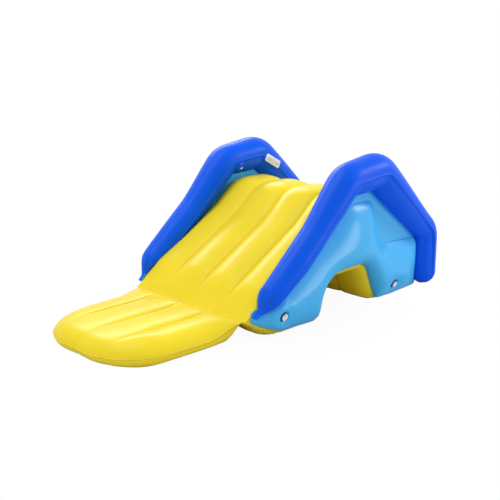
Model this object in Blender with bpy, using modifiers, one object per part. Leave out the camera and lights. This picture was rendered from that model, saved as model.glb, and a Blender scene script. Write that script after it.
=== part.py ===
"""Inflatable water slide: an arched body, two guard bolsters and a landing pad that folds at a weld.

Frame: metres, +Z up, +Y from the landing pad to the climbing steps, X across the slide,
origin on the ground at the middle of the slide's length and width.
"""

import math
from typing import NamedTuple

import bmesh
import bpy
from mathutils import Matrix, Vector
from mathutils.geometry import delaunay_2d_cdt

# Clearances
GAP = 0.0003
OVERRUN = 0.02
MERGE = 0.00001
SHARPEST = 0.001

# Overall size
LENGTH = 2.49
WIDTH = 1.3
HEIGHT = 0.96

# Places along the body, as shares of its length behind the weld
BED_KNEE_SHARE = 0.38006
CREST_SHARE = 0.48915
PLATFORM_REAR_SHARE = 0.61466
RISER_FOOT_SHARE = 0.68739
REAR_FOOT_FRONT_SHARE = 0.6522
ARCH_REAR_SHARE = 0.56891
ARCH_FRONT_SHARE = 0.37537
FRONT_FOOT_REAR_SHARE = 0.331
TOE_START_SHARE = 0.13196
TAIL_TIP_SHARE = 0.02463
TAIL_ROOT_SHARE = 0.04575
NOSE_SHARE = 0.09853
SLOPE_MID_SHARE = 0.28798
TOP_FRONT_SHARE = 0.45455
TOP_REAR_SHARE = 0.6217
BAFFLE_FRONT_SHARE = 0.10792
BAFFLE_TAB_SHARE = 0.46334
FRONT_VALVE_SHARE = 0.1273
REAR_VALVE_SHARE = 0.7378
HANDLE_SHARE = 0.6593
BOLSTER_VALVE_SHARE = 0.4855

# Heights of the body, as shares of its platform's height, and of the bolster's bend
BED_KNEE_HEIGHT_SHARE = 0.76183
TREAD_HEIGHT_SHARE = 0.54198
ARCH_REAR_HEIGHT_SHARE = 0.40611
ARCH_FRONT_HEIGHT_SHARE = 0.38168
SLOPE_MID_HEIGHT_SHARE = 0.6433

# Side profile of the body, at the seams between the yellow band and the side sheets
PAD_LENGTH = 0.77
JOINT_HEIGHT = 0.114
WELD_LIP = 0.004
SEAM_INSET = 0.026
GUARD_HEIGHT = 0.305
TREAD_REAR_DROP = 0.017
BODY_REAR_INSET = 0.057
SOLE_HEIGHT = 0.018
KNEE_RADIUS = 0.6
CREST_RADIUS = 0.16
PLATFORM_EDGE_RADIUS = 0.055
RISER_FOOT_RADIUS = 0.09
BODY_EDGE_RADIUS = 0.05
FOOT_EDGE_RADIUS = 0.035
ARCH_REAR_RADIUS = 0.09
ARCH_FRONT_RADIUS = 0.11
TOE_SOLE_RADIUS = 0.3

# Swell of the yellow band between its seams
CHANNELS = 4
CHANNEL_STEPS = 4
EDGE_SWELL = 0.03
EDGE_SWELL_WIDTH = 0.1
CHANNEL_SWELL = 0.022
EDGE_FADE = 0.09
CHANNEL_FADE_START = 0.05
CHANNEL_FADE = 0.16

# Side sheet with its guard web, and the puffed side panel outside it
WEB_THICKNESS = 0.002
PANEL_SWELL = 0.067
PANEL_ROUNDING = 0.15
PANEL_RIM = 0.04
PANEL_RINGS = 4
PANEL_TOE_RADIUS = 0.03
PANEL_GRID = 0.05

# Guard bolsters
TAIL_TIP_RISE = 0.018
TAIL_ROOT_RISE = 0.042
NOSE_RISE = 0.118
TOP_FRONT_DROP = 0.03
SHOULDER_RISE = 0.02
SLOPE_BEND_RADIUS = 0.8
TOP_BEND_RADIUS = 0.13
SHOULDER_BEND_RADIUS = 0.11
FOOT_CLEARANCE = 0.003
TAIL_TIP_HALF_THICKNESS = 0.003
TAIL_TIP_HALF_WIDTH = 0.016
TAIL_ROOT_HALF_THICKNESS = 0.01
TAIL_ROOT_HALF_WIDTH = 0.02
NOSE_RADIUS = 0.088
SLOPE_RADIUS = 0.096
TOP_FRONT_RADIUS = 0.113
TOP_RADIUS = 0.117
SHOULDER_RADIUS = 0.088
LEG_RADIUS = 0.088
SEAM_RIDGE = 0.0035
BOLSTER_SIDES = 16
FOOT_RINGS = 5

# Landing pad
PAD_THICKNESS = 0.142
PAD_SEAM_HEIGHT = 0.058
PAD_SIDE_INSET = 0.047
PAD_CORNER_RADIUS = 0.34
PAD_FRONT_NARROWING = 0.031
PAD_FRONT_SCALLOP = 0.008
PAD_ROWS = 14
PAD_RIM = 0.1
PAD_JOINT_ROUNDING = 0.11
PAD_CREASE_DEPTH = 0.026
PAD_CREASE_MARGIN = 0.06
PAD_CREASE_FADE = 0.16
PAD_SEAM_BLEND = 0.24
PRESS = 0.004

# Inner baffles
BAFFLE_THICKNESS = 0.0012
BAFFLE_SKIN = 0.006
BODY_BAFFLE_SOLE_HEIGHT = 0.075
BODY_BAFFLE_EDGE_RADIUS = 0.03
TAB_WIDTH = 0.05
PAD_BAFFLE_MARGIN = 0.15

# Large air and water valves on the right side panel
FRONT_VALVE_HEIGHT = 0.115
REAR_VALVE_HEIGHT = 0.076
VALVE_PATCH = 0.03

# Handles on the inner faces of the bolsters
HANDLE_DROP = 0.001
HANDLE_TILT = math.radians(28.5)
HANDLE_LENGTH = 0.15
HANDLE_HEIGHT = 0.054
HANDLE_CORNER = 0.014
HANDLE_THICKNESS = 0.004
HANDLE_SEAT_DEPTH = 0.0045
GRIP_LENGTH = 0.13
GRIP_WIDTH = 0.022
GRIP_RISE = 0.022
GRIP_THICKNESS = 0.005
GRIP_FOOT = 0.012

# Small bolster valves
BOLSTER_VALVE_DROP = 0.05

# Worked out from the sizes above: places along the slide
FRONT_Y = -LENGTH / 2
REAR_Y = LENGTH / 2
JOINT_Y = FRONT_Y + PAD_LENGTH
BODY_LENGTH = REAR_Y - JOINT_Y
LEG_Y = REAR_Y - LEG_RADIUS
BODY_REAR_Y = LEG_Y - BODY_REAR_INSET
BED_KNEE_Y = JOINT_Y + BED_KNEE_SHARE * BODY_LENGTH
CREST_Y = JOINT_Y + CREST_SHARE * BODY_LENGTH
PLATFORM_REAR_Y = JOINT_Y + PLATFORM_REAR_SHARE * BODY_LENGTH
RISER_FOOT_Y = JOINT_Y + RISER_FOOT_SHARE * BODY_LENGTH
REAR_FOOT_FRONT_Y = JOINT_Y + REAR_FOOT_FRONT_SHARE * BODY_LENGTH
ARCH_REAR_Y = JOINT_Y + ARCH_REAR_SHARE * BODY_LENGTH
ARCH_FRONT_Y = JOINT_Y + ARCH_FRONT_SHARE * BODY_LENGTH
FRONT_FOOT_REAR_Y = JOINT_Y + FRONT_FOOT_REAR_SHARE * BODY_LENGTH
TOE_START_Y = JOINT_Y + TOE_START_SHARE * BODY_LENGTH
TAIL_TIP_Y = JOINT_Y + TAIL_TIP_SHARE * BODY_LENGTH
TAIL_ROOT_Y = JOINT_Y + TAIL_ROOT_SHARE * BODY_LENGTH
NOSE_Y = JOINT_Y + NOSE_SHARE * BODY_LENGTH
SLOPE_MID_Y = JOINT_Y + SLOPE_MID_SHARE * BODY_LENGTH
TOP_FRONT_Y = JOINT_Y + TOP_FRONT_SHARE * BODY_LENGTH
TOP_REAR_Y = JOINT_Y + TOP_REAR_SHARE * BODY_LENGTH
BODY_BAFFLE_FRONT_Y = JOINT_Y + BAFFLE_FRONT_SHARE * BODY_LENGTH
BODY_TAB_Y = JOINT_Y + BAFFLE_TAB_SHARE * BODY_LENGTH
FRONT_VALVE_Y = JOINT_Y + FRONT_VALVE_SHARE * BODY_LENGTH
REAR_VALVE_Y = JOINT_Y + REAR_VALVE_SHARE * BODY_LENGTH
HANDLE_Y = JOINT_Y + HANDLE_SHARE * BODY_LENGTH
BOLSTER_VALVE_Y = JOINT_Y + BOLSTER_VALVE_SHARE * BODY_LENGTH

# Worked out from the sizes above: heights and widths
FOLD_HEIGHT = JOINT_HEIGHT + WELD_LIP
PLATFORM_HEIGHT = HEIGHT - GUARD_HEIGHT
BED_KNEE_HEIGHT = BED_KNEE_HEIGHT_SHARE * PLATFORM_HEIGHT
TREAD_HEIGHT = TREAD_HEIGHT_SHARE * PLATFORM_HEIGHT
ARCH_REAR_HEIGHT = ARCH_REAR_HEIGHT_SHARE * PLATFORM_HEIGHT
ARCH_FRONT_HEIGHT = ARCH_FRONT_HEIGHT_SHARE * PLATFORM_HEIGHT
TAIL_TIP_HEIGHT = FOLD_HEIGHT + TAIL_TIP_RISE
TAIL_ROOT_HEIGHT = FOLD_HEIGHT + TAIL_ROOT_RISE
NOSE_HEIGHT = FOLD_HEIGHT + NOSE_RISE
TOP_REAR_HEIGHT = HEIGHT - TOP_RADIUS
TOP_FRONT_HEIGHT = TOP_REAR_HEIGHT - TOP_FRONT_DROP
SLOPE_MID_HEIGHT = SLOPE_MID_HEIGHT_SHARE * TOP_FRONT_HEIGHT
SHOULDER_HEIGHT = TREAD_HEIGHT + SHOULDER_RISE
LEG_END_HEIGHT = FOOT_CLEARANCE + LEG_RADIUS
BOLSTER_X = WIDTH / 2 - TOP_RADIUS - SEAM_RIDGE
HALF_WIDTH = BOLSTER_X - SEAM_INSET
PAD_HALF_WIDTH = HALF_WIDTH - PAD_SIDE_INSET
SWELL = EDGE_SWELL + CHANNEL_SWELL
WEB_X = HALF_WIDTH + GAP
PANEL_X = WEB_X + WEB_THICKNESS + GAP


class Corner(NamedTuple):
    """A corner of an outline in the Y-Z plane, with the steps of its arc and of the run after it."""

    y: float
    z: float
    radius: float = 0.0
    arc_steps: int = 0
    run_steps: int = 1


class ValveSize(NamedTuple):
    """Sizes of one valve: a flanged seat, its neck and bore, and a cap on a tether hinge."""

    flange_radius: float
    flange_thickness: float
    neck_radius: float
    neck_height: float
    bore_radius: float
    cap_radius: float
    cap_thickness: float
    plug_depth: float
    plug_taper: float
    grip_width: float
    grip_height: float
    tether_width: float
    seat_depth: float
    sides: int


LARGE_VALVE = ValveSize(
    flange_radius=0.029,
    flange_thickness=0.003,
    neck_radius=0.0235,
    neck_height=0.009,
    bore_radius=0.017,
    cap_radius=0.0205,
    cap_thickness=0.004,
    plug_depth=0.008,
    plug_taper=0.003,
    grip_width=0.006,
    grip_height=0.004,
    tether_width=0.01,
    seat_depth=0.008,
    sides=24,
)
SMALL_VALVE = ValveSize(
    flange_radius=0.0125,
    flange_thickness=0.0015,
    neck_radius=0.0095,
    neck_height=0.004,
    bore_radius=0.006,
    cap_radius=0.0085,
    cap_thickness=0.002,
    plug_depth=0.003,
    plug_taper=0.0012,
    grip_width=0.003,
    grip_height=0.0015,
    tether_width=0.005,
    seat_depth=0.0025,
    sides=16,
)

YELLOW = ((0.97, 0.77, 0.03), 0.32)
ROYAL_BLUE = ((0.005, 0.09, 0.74), 0.3)
LIGHT_BLUE = ((0.09, 0.47, 0.87), 0.32)
WHITE = ((0.88, 0.88, 0.92), 0.4)
GREY = ((0.5, 0.52, 0.6), 0.5)
NAVY = ((0.01, 0.03, 0.2), 0.35)


# Outlines


def turn_at(before, at, after):
    """Sine of the turn at a corner: negative where a clockwise outline is convex."""
    first = (at - before).normalized()
    second = (after - at).normalized()
    return first.x * second.y - first.y * second.x


def inset(corners, distance):
    """Moves each edge of a closed clockwise outline inward, with its corner radii to suit."""
    points = [Vector((corner.y, corner.z)) for corner in corners]
    count = len(points)
    moved = []
    for index, corner in enumerate(corners):
        before, at, after = points[index - 1], points[index], points[(index + 1) % count]
        first = (at - before).normalized()
        second = (after - at).normalized()
        inward_first = Vector((first.y, -first.x))
        inward_second = Vector((second.y, -second.x))
        bisector = inward_first + inward_second
        place = at + bisector * (2 * distance / bisector.length_squared)
        change = distance if turn_at(before, at, after) < 0 else -distance
        radius = max(corner.radius - change, SHARPEST) if corner.radius else 0.0
        moved.append(corner._replace(y=place.x, z=place.y, radius=radius))
    return moved


def rounded(corners, closed=True):
    """Points of an outline or path whose corners are arcs tangent to its straight runs."""
    count = len(corners)
    stretches = []
    for index, corner in enumerate(corners):
        at = Vector((corner.y, corner.z))
        is_end = not closed and index in (0, count - 1)
        if is_end or corner.radius <= 0.0 or corner.arc_steps == 0:
            stretches.append([at])
            continue
        previous, following = corners[index - 1], corners[(index + 1) % count]
        to_before = (Vector((previous.y, previous.z)) - at).normalized()
        to_after = (Vector((following.y, following.z)) - at).normalized()
        half_angle = to_before.angle(to_after) / 2
        centre = at + (to_before + to_after).normalized() * (corner.radius / math.sin(half_angle))
        start = (at + to_before * (corner.radius / math.tan(half_angle)) - centre).normalized()
        end = (at + to_after * (corner.radius / math.tan(half_angle)) - centre).normalized()
        arc = []
        for step in range(corner.arc_steps + 1):
            share = step / corner.arc_steps
            arc.append(centre + start.slerp(end, share) * corner.radius)
        stretches.append(arc)
    points = []
    for index, stretch in enumerate(stretches):
        points.extend(stretch)
        if index == count - 1 and not closed:
            break
        target = stretches[(index + 1) % count][0]
        steps = corners[index].run_steps
        points.extend(stretch[-1].lerp(target, step / steps) for step in range(1, steps))
    return points


def side_profile():
    """Seam line of the body's side, clockwise from the top of the weld lip at the joint."""
    return [
        Corner(JOINT_Y, JOINT_HEIGHT + WELD_LIP, run_steps=8),
        Corner(BED_KNEE_Y, BED_KNEE_HEIGHT, KNEE_RADIUS, 2, 1),
        Corner(CREST_Y, PLATFORM_HEIGHT, CREST_RADIUS, 4, 2),
        Corner(PLATFORM_REAR_Y, PLATFORM_HEIGHT, PLATFORM_EDGE_RADIUS, 3, 2),
        Corner(RISER_FOOT_Y, TREAD_HEIGHT, RISER_FOOT_RADIUS, 4, 2),
        Corner(BODY_REAR_Y, TREAD_HEIGHT - TREAD_REAR_DROP, BODY_EDGE_RADIUS, 3, 2),
        Corner(BODY_REAR_Y, SOLE_HEIGHT, FOOT_EDGE_RADIUS, 3, 3),
        Corner(REAR_FOOT_FRONT_Y, SOLE_HEIGHT, FOOT_EDGE_RADIUS, 3, 2),
        Corner(ARCH_REAR_Y, ARCH_REAR_HEIGHT, ARCH_REAR_RADIUS, 4, 2),
        Corner(ARCH_FRONT_Y, ARCH_FRONT_HEIGHT, ARCH_FRONT_RADIUS, 4, 2),
        Corner(FRONT_FOOT_REAR_Y, SOLE_HEIGHT, FOOT_EDGE_RADIUS, 3, 2),
        Corner(TOE_START_Y, SOLE_HEIGHT, TOE_SOLE_RADIUS, 3, 3),
        Corner(JOINT_Y, JOINT_HEIGHT - WELD_LIP),
    ]


def panel_profile():
    """The side profile with its sharp toe rounded, for the side panels."""
    return [Corner(JOINT_Y, JOINT_HEIGHT, PANEL_TOE_RADIUS, 4, 6)] + side_profile()[1:-1]


def bolster_path():
    """Axis of a bolster in the Y-Z plane, from its welded tail to its rear foot."""
    return [
        Corner(TAIL_TIP_Y, TAIL_TIP_HEIGHT, run_steps=1),
        Corner(TAIL_ROOT_Y, TAIL_ROOT_HEIGHT, run_steps=6),
        Corner(NOSE_Y, NOSE_HEIGHT, run_steps=4),
        Corner(SLOPE_MID_Y, SLOPE_MID_HEIGHT, SLOPE_BEND_RADIUS, 1, 3),
        Corner(TOP_FRONT_Y, TOP_FRONT_HEIGHT, TOP_BEND_RADIUS, 4, 2),
        Corner(TOP_REAR_Y, TOP_REAR_HEIGHT, TOP_BEND_RADIUS, 4, 6),
        Corner(LEG_Y, SHOULDER_HEIGHT, SHOULDER_BEND_RADIUS, 4, 2),
        Corner(LEG_Y, LEG_END_HEIGHT),
    ]


def round_rise(share):
    """Height share of a quarter circle, from 0 at its edge to 1 where it levels out."""
    held = min(max(share, 0.0), 1.0)
    return math.sqrt(1 - (1 - held) ** 2)


def smooth(share):
    held = min(max(share, 0.0), 1.0)
    return held * held * (3 - 2 * held)


def channel_crown(x, half_width):
    """1 along the crown of each channel and 0 at the creases between the channels."""
    width = 2 * half_width / CHANNELS
    nearest = min(abs(x - crease) for crease in crease_places(half_width))
    return round_rise(nearest / (width / 2))


def crease_places(half_width):
    """Places across the slide of the creases between its channels."""
    width = 2 * half_width / CHANNELS
    return [-half_width + width * number for number in range(1, CHANNELS)]


def stations(half_width):
    """Places across the slide, closer together near each crease."""
    width = 2 * half_width / CHANNELS
    places = [-half_width]
    for channel in range(CHANNELS):
        start = -half_width + channel * width
        for step in range(1, CHANNEL_STEPS + 1):
            share = (1 - math.cos(math.pi * step / CHANNEL_STEPS)) / 2
            places.append(start + share * width)
    return places


# Making objects


def clear_scene():
    for item in list(bpy.data.objects):
        bpy.data.objects.remove(item)


def make_collection(name):
    collection = bpy.data.collections.new(name)
    bpy.context.scene.collection.children.link(collection)
    return collection


def finish(name, look):
    """A Principled material for one piece."""
    colour, roughness = look
    material = bpy.data.materials.new(name + "_finish")
    material.use_nodes = True
    shader = material.node_tree.nodes["Principled BSDF"]
    shader.inputs["Base Color"].default_value = (*colour, 1.0)
    shader.inputs["Roughness"].default_value = roughness
    shader.inputs["Metallic"].default_value = 0.0
    return material


def add_object(name, mesh, collection, look=None, place=None):
    item = bpy.data.objects.new(name, mesh)
    collection.objects.link(item)
    if place:
        item.matrix_world = place
    if look:
        mesh.materials.append(finish(name, look))
    return item


def mesh_from(bm, name):
    bmesh.ops.recalc_face_normals(bm, faces=bm.faces)
    mesh = bpy.data.meshes.new(name)
    bm.to_mesh(mesh)
    bm.free()
    return mesh


def loft(name, rings, smooth_sides=True, split=False):
    """A closed mesh through rings of points that match one to one, with flat end caps.

    With split set, each quad is cut on the same diagonal, so that a body and its cutter agree.
    """
    bm = bmesh.new()
    rows = [[bm.verts.new(point) for point in ring] for ring in rings]
    count = len(rows[0])
    for near, far in zip(rows, rows[1:]):
        for index in range(count):
            after = (index + 1) % count
            bm.faces.new((near[index], near[after], far[after], far[index]))
    for face in bm.faces:
        face.smooth = smooth_sides
    if split:
        bmesh.ops.triangulate(bm, faces=bm.faces, quad_method="FIXED")
    bm.faces.new(rows[0])
    bm.faces.new(rows[-1])
    return mesh_from(bm, name)


def sheet(name, outline, low, high):
    """A flat sheet with a Y-Z outline, from low to high across the slide."""
    rings = [[(x, point.x, point.y) for point in outline] for x in (low, high)]
    return loft(name, rings, smooth_sides=False)


def turned(name, profile, sides, collection, look=None, place=None, ring=False):
    """A profile of (radius, height) points, top to bottom on its outer side, turned round Z."""
    mesh = bpy.data.meshes.new(name)
    points = [(radius, 0.0, height) for radius, height in profile]
    edges = [(index, index + 1) for index in range(len(points) - 1)]
    if ring:
        edges.append((len(points) - 1, 0))
    mesh.from_pydata(points, edges, [])
    item = add_object(name, mesh, collection, look, place)
    screw = item.modifiers.new("Turn", "SCREW")
    screw.axis = "Z"
    screw.steps = sides
    screw.render_steps = sides
    screw.use_merge_vertices = True
    screw.merge_threshold = MERGE
    screw.use_smooth_shade = True
    return item


def box(name, low, high, collection, place=None):
    """A box between two corners, for a cutter or a piece that is joined on."""
    bm = bmesh.new()
    bmesh.ops.create_cube(bm, size=1.0)
    size = Vector(high) - Vector(low)
    centre = (Vector(high) + Vector(low)) / 2
    bmesh.ops.scale(bm, vec=size, verts=bm.verts)
    bmesh.ops.translate(bm, vec=centre, verts=bm.verts)
    return add_object(name, mesh_from(bm, name), collection, place=place)


def helper(item):
    item.hide_render = True
    item.display_type = "WIRE"
    return item


def combine(item, other, operation):
    """Cuts the other object from this one, or joins it on."""
    modifier = item.modifiers.new(operation.title() + " " + other.name, "BOOLEAN")
    modifier.operation = operation
    modifier.object = helper(other)
    modifier.solver = "EXACT"


def add_empty(name, collection, place):
    empty = bpy.data.objects.new(name, None)
    empty.matrix_world = place
    collection.objects.link(empty)
    return empty


def hang_on(item, parent):
    item.parent = parent
    item.matrix_parent_inverse = parent.matrix_basis.inverted()


# Body


def chamber_point(base, full, x, half_width):
    """A point of the yellow band: its seam outline, swollen outward by its place."""
    from_joint = base.x - JOINT_Y
    from_side = half_width - abs(x)
    edge = round_rise(from_side / EDGE_SWELL_WIDTH) * round_rise(from_joint / EDGE_FADE)
    fade = smooth((from_joint - CHANNEL_FADE_START) / CHANNEL_FADE)
    channel = channel_crown(x, half_width) * edge * fade
    share = (EDGE_SWELL * edge + CHANNEL_SWELL * channel) / SWELL
    point = base.lerp(full, share)
    return (x, point.x, max(point.y, 0.0))


def make_body_chamber(parts, cutters):
    """The yellow band of bed, platform, step, feet and arch, lofted across the slide."""
    base = rounded(side_profile())
    full = rounded(inset(side_profile(), -SWELL))
    rings = []
    for x in stations(HALF_WIDTH):
        rings.append([chamber_point(low, high, x, HALF_WIDTH) for low, high in zip(base, full)])
    body = add_object("body_chamber", loft("body_chamber", rings), parts, YELLOW)
    for side, name in SIDES:
        tube = bolster_mesh("body_cut_" + name, side, GAP)
        combine(body, add_object("body_cut_" + name, tube, cutters), "DIFFERENCE")
    return body


def body_baffle_outline(growth):
    """Outline of a body baffle, which stops short of the joint and of the soles."""
    top = [corner._replace(run_steps=2) for corner in side_profile()[1:5]]
    bed_slope = (BED_KNEE_HEIGHT - FOLD_HEIGHT) / (BED_KNEE_Y - JOINT_Y)
    front_height = FOLD_HEIGHT + bed_slope * (BODY_BAFFLE_FRONT_Y - JOINT_Y)
    edge = BODY_BAFFLE_EDGE_RADIUS
    sole = BODY_BAFFLE_SOLE_HEIGHT
    lift = sole - SOLE_HEIGHT
    arch_lean = (REAR_FOOT_FRONT_Y - ARCH_REAR_Y) / (ARCH_REAR_HEIGHT - SOLE_HEIGHT)
    foot_lean = (ARCH_FRONT_Y - FRONT_FOOT_REAR_Y) / (ARCH_FRONT_HEIGHT - SOLE_HEIGHT)
    corners = [Corner(BODY_BAFFLE_FRONT_Y, front_height, edge, 2)] + top
    corners += [
        Corner(BODY_REAR_Y, TREAD_HEIGHT - TREAD_REAR_DROP, BODY_EDGE_RADIUS, 2),
        Corner(BODY_REAR_Y, sole, edge, 2),
        Corner(REAR_FOOT_FRONT_Y - lift * arch_lean, sole, edge, 2),
        Corner(ARCH_REAR_Y, ARCH_REAR_HEIGHT, ARCH_REAR_RADIUS, 3),
        Corner(ARCH_FRONT_Y, ARCH_FRONT_HEIGHT, ARCH_FRONT_RADIUS, 3),
        Corner(FRONT_FOOT_REAR_Y + lift * foot_lean, sole, edge, 2),
        Corner(BODY_BAFFLE_FRONT_Y, sole, edge, 2),
    ]
    return rounded(inset(corners, BAFFLE_SKIN - EDGE_SWELL - growth))


def arch_crease_height():
    """Height of the arch's ceiling at a crease, over the baffles' tabs."""
    share = (BODY_TAB_Y - ARCH_FRONT_Y) / (ARCH_REAR_Y - ARCH_FRONT_Y)
    seam = ARCH_FRONT_HEIGHT + share * (ARCH_REAR_HEIGHT - ARCH_FRONT_HEIGHT)
    return seam - EDGE_SWELL


def make_baffle(name, x, outline_of, tab_y, tab_foot, tab_top, parts, cutters, look):
    """An inner baffle with a tab down to the skin, and the cutter of the pocket it lies in."""
    half = BAFFLE_THICKNESS / 2
    room = half + GAP
    mesh = sheet(name, outline_of(0.0), x - half, x + half)
    baffle = add_object(name, mesh, parts, look)
    low = (x - half, tab_y - TAB_WIDTH / 2, tab_foot + GAP)
    high = (x + half, tab_y + TAB_WIDTH / 2, tab_top)
    combine(baffle, box(name + "_tab", low, high, cutters), "UNION")
    pocket_mesh = sheet(name + "_pocket", outline_of(GAP), x - room, x + room)
    pocket = add_object(name + "_pocket", pocket_mesh, cutters)
    low = (x - room, tab_y - TAB_WIDTH / 2 - GAP, tab_foot - OVERRUN)
    high = (x + room, tab_y + TAB_WIDTH / 2 + GAP, tab_top)
    slit = box(name + "_slit", low, high, cutters)
    combine(pocket, slit, "UNION")
    return pocket


def make_body_baffles(body, parts, cutters):
    foot = arch_crease_height()
    for name, x in zip(BAFFLE_NAMES, crease_places(HALF_WIDTH)):
        title = "body_baffle_" + name
        top = foot + 2 * OVERRUN
        pocket = make_baffle(
            title, x, body_baffle_outline, BODY_TAB_Y, foot, top, parts, cutters, YELLOW
        )
        combine(body, pocket, "DIFFERENCE")


def web_outline():
    """Side sheet: down the bolster's axis from its nose to its foot, and back along the feet."""
    toe = [panel_profile()[0]._replace(run_steps=1)]
    feet_and_arch = panel_profile()[6:]
    return rounded(bolster_path()[2:] + feet_and_arch + toe)


def make_side_webs(parts, cutters):
    """Flat side sheets, each with the web that closes the space under its bolster."""
    outline = web_outline()
    for side, name in SIDES:
        title = "side_web_" + name
        ends = sorted((side * WEB_X, side * (WEB_X + WEB_THICKNESS)))
        web = add_object(title, sheet(title, outline, *ends), parts, LIGHT_BLUE)
        tube = bolster_mesh("web_cut_" + name, side, GAP)
        combine(web, add_object("web_cut_" + name, tube, cutters), "DIFFERENCE")


def edge_distance(point, outline):
    """Distance from a point to the nearest edge of a closed outline."""
    found = []
    for index, end in enumerate(outline):
        start = outline[index - 1]
        edge = end - start
        share = (point - start).dot(edge) / edge.length_squared
        found.append((point - start.lerp(end, min(max(share, 0.0), 1.0))).length)
    return min(found)


def grid_points(outline):
    """Points of a square grid over an outline, clear of its edge."""
    low = Vector((min(point.x for point in outline), min(point.y for point in outline)))
    high = Vector((max(point.x for point in outline), max(point.y for point in outline)))
    columns = round((high.x - low.x) / PANEL_GRID)
    rows = round((high.y - low.y) / PANEL_GRID)
    found = []
    for column in range(1, columns):
        for row in range(1, rows):
            shift = PANEL_GRID / 2 if row % 2 else 0.0
            place = low + Vector((column * PANEL_GRID + shift, row * PANEL_GRID))
            if edge_distance(place, outline) > PANEL_GRID / 2:
                found.append(place)
    return found


def panel_swell(distance):
    """How far a panel stands out at a distance from its edge."""
    return PANEL_SWELL * round_rise(distance / PANEL_ROUNDING)


def panel_mesh(name, side):
    """Rings that draw in as they swell outward, closed by a cap that goes on swelling from its rim."""
    edge = rounded(panel_profile())
    bm = bmesh.new()
    rows = []
    for step in range(PANEL_RINGS + 1):
        angle = math.pi / 2 * step / PANEL_RINGS
        drawn_in = PANEL_RIM * (1 - math.cos(angle))
        x = side * (PANEL_X + panel_swell(drawn_in))
        rim = rounded(inset(panel_profile(), drawn_in))
        rows.append([bm.verts.new((x, point.x, point.y)) for point in rim])
    for near, far in zip(rows, rows[1:]):
        for index in range(len(rim)):
            bm.faces.new((near[index - 1], near[index], far[index], far[index - 1]))
    bm.faces.new(rows[0])
    loop = [list(range(len(rim)))]
    places, _, triangles, sources, _, _ = delaunay_2d_cdt(rim + grid_points(rim), [], loop, 1, MERGE)
    corners = {}
    for number in sorted({number for triangle in triangles for number in triangle}):
        source = sources[number][0]
        if source < len(rim):
            corners[number] = rows[-1][source]
            continue
        x = side * (PANEL_X + panel_swell(edge_distance(places[number], edge)))
        corners[number] = bm.verts.new((x, *places[number]))
    for triangle in triangles:
        bm.faces.new([corners[number] for number in triangle])
    for face in bm.faces:
        face.smooth = len(face.verts) < 5
    return mesh_from(bm, name)


def make_side_panels(parts, cutters):
    """Puffed light-blue panels: the side profile, drawn in as it swells outward and crowned."""
    panels = {}
    for side, name in SIDES:
        title = "side_panel_" + name
        panel = add_object(title, panel_mesh(title, side), parts, LIGHT_BLUE)
        tube = bolster_mesh("panel_cut_" + name, side, GAP)
        combine(panel, add_object("panel_cut_" + name, tube, cutters), "DIFFERENCE")
        panels[name] = panel
    return panels


# Bolsters


def bolster_stations():
    """Points of the bolster's axis, each with its direction and its half thickness and width."""
    points = rounded(bolster_path(), closed=False)
    lengths = [0.0]
    for before, after in zip(points, points[1:]):
        lengths.append(lengths[-1] + (after - before).length)
    marks = [
        (TAIL_TIP_Y, TAIL_TIP_HEIGHT, TAIL_TIP_HALF_THICKNESS, TAIL_TIP_HALF_WIDTH),
        (TAIL_ROOT_Y, TAIL_ROOT_HEIGHT, TAIL_ROOT_HALF_THICKNESS, TAIL_ROOT_HALF_WIDTH),
        (NOSE_Y, NOSE_HEIGHT, NOSE_RADIUS, NOSE_RADIUS),
        (SLOPE_MID_Y, SLOPE_MID_HEIGHT, SLOPE_RADIUS, SLOPE_RADIUS),
        (TOP_FRONT_Y, TOP_FRONT_HEIGHT, TOP_FRONT_RADIUS, TOP_FRONT_RADIUS),
        (TOP_REAR_Y, TOP_REAR_HEIGHT, TOP_RADIUS, TOP_RADIUS),
        (LEG_Y, SHOULDER_HEIGHT, SHOULDER_RADIUS, SHOULDER_RADIUS),
        (LEG_Y, LEG_END_HEIGHT, LEG_RADIUS, LEG_RADIUS),
    ]
    anchors = []
    for y, z, thickness, width in marks:
        nearest = min(range(len(points)), key=lambda index: (points[index] - Vector((y, z))).length)
        anchors.append((lengths[nearest], thickness, width))
    found = []
    for index, point in enumerate(points):
        before = points[max(index - 1, 0)]
        after = points[min(index + 1, len(points) - 1)]
        direction = (after - before).normalized()
        thickness, width = sizes_at(lengths[index], anchors)
        found.append((point, direction, thickness, width))
    for ring in range(1, FOOT_RINGS + 1):
        angle = math.pi / 2 * ring / (FOOT_RINGS + 1)
        down = Vector((LEG_Y, LEG_END_HEIGHT - LEG_RADIUS * math.sin(angle)))
        radius = LEG_RADIUS * math.cos(angle)
        found.append((down, Vector((0.0, -1.0)), radius, radius))
    return found


def sizes_at(length, anchors):
    """Half thickness and half width at a length along the bolster: its nose swells as a round."""
    for number, (start, end) in enumerate(zip(anchors, anchors[1:])):
        if length > end[0]:
            continue
        share = (length - start[0]) / (end[0] - start[0])
        eased = math.sin(share * math.pi / 2) if number == 1 else smooth(share)
        return tuple(low + (high - low) * eased for low, high in zip(start[1:], end[1:]))
    return anchors[-1][1:]


def bolster_mesh(name, side, growth):
    """A tube of round sections with a ridge at each side seam, flat at its welded tail."""
    rings = []
    for point, direction, thickness, width in bolster_stations():
        ring = []
        for number in range(BOLSTER_SIDES):
            angle = 2 * math.pi * number / BOLSTER_SIDES
            is_seam = number in (0, BOLSTER_SIDES // 2)
            ridge = SEAM_RIDGE if is_seam else 0.0
            across = math.cos(angle) * (width + ridge + growth)
            up = math.sin(angle) * (thickness + growth)
            y = point.x - direction.y * up
            z = point.y + direction.x * up
            ring.append((side * (BOLSTER_X + across), y, z))
        rings.append(ring)
    if growth:
        rings[0] = [lengthened(corner, rings[1][index], growth) for index, corner in enumerate(rings[0])]
        rings[-1] = [(x, y, z - growth) for x, y, z in rings[-1]]
    return loft(name, rings, split=True)


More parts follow.
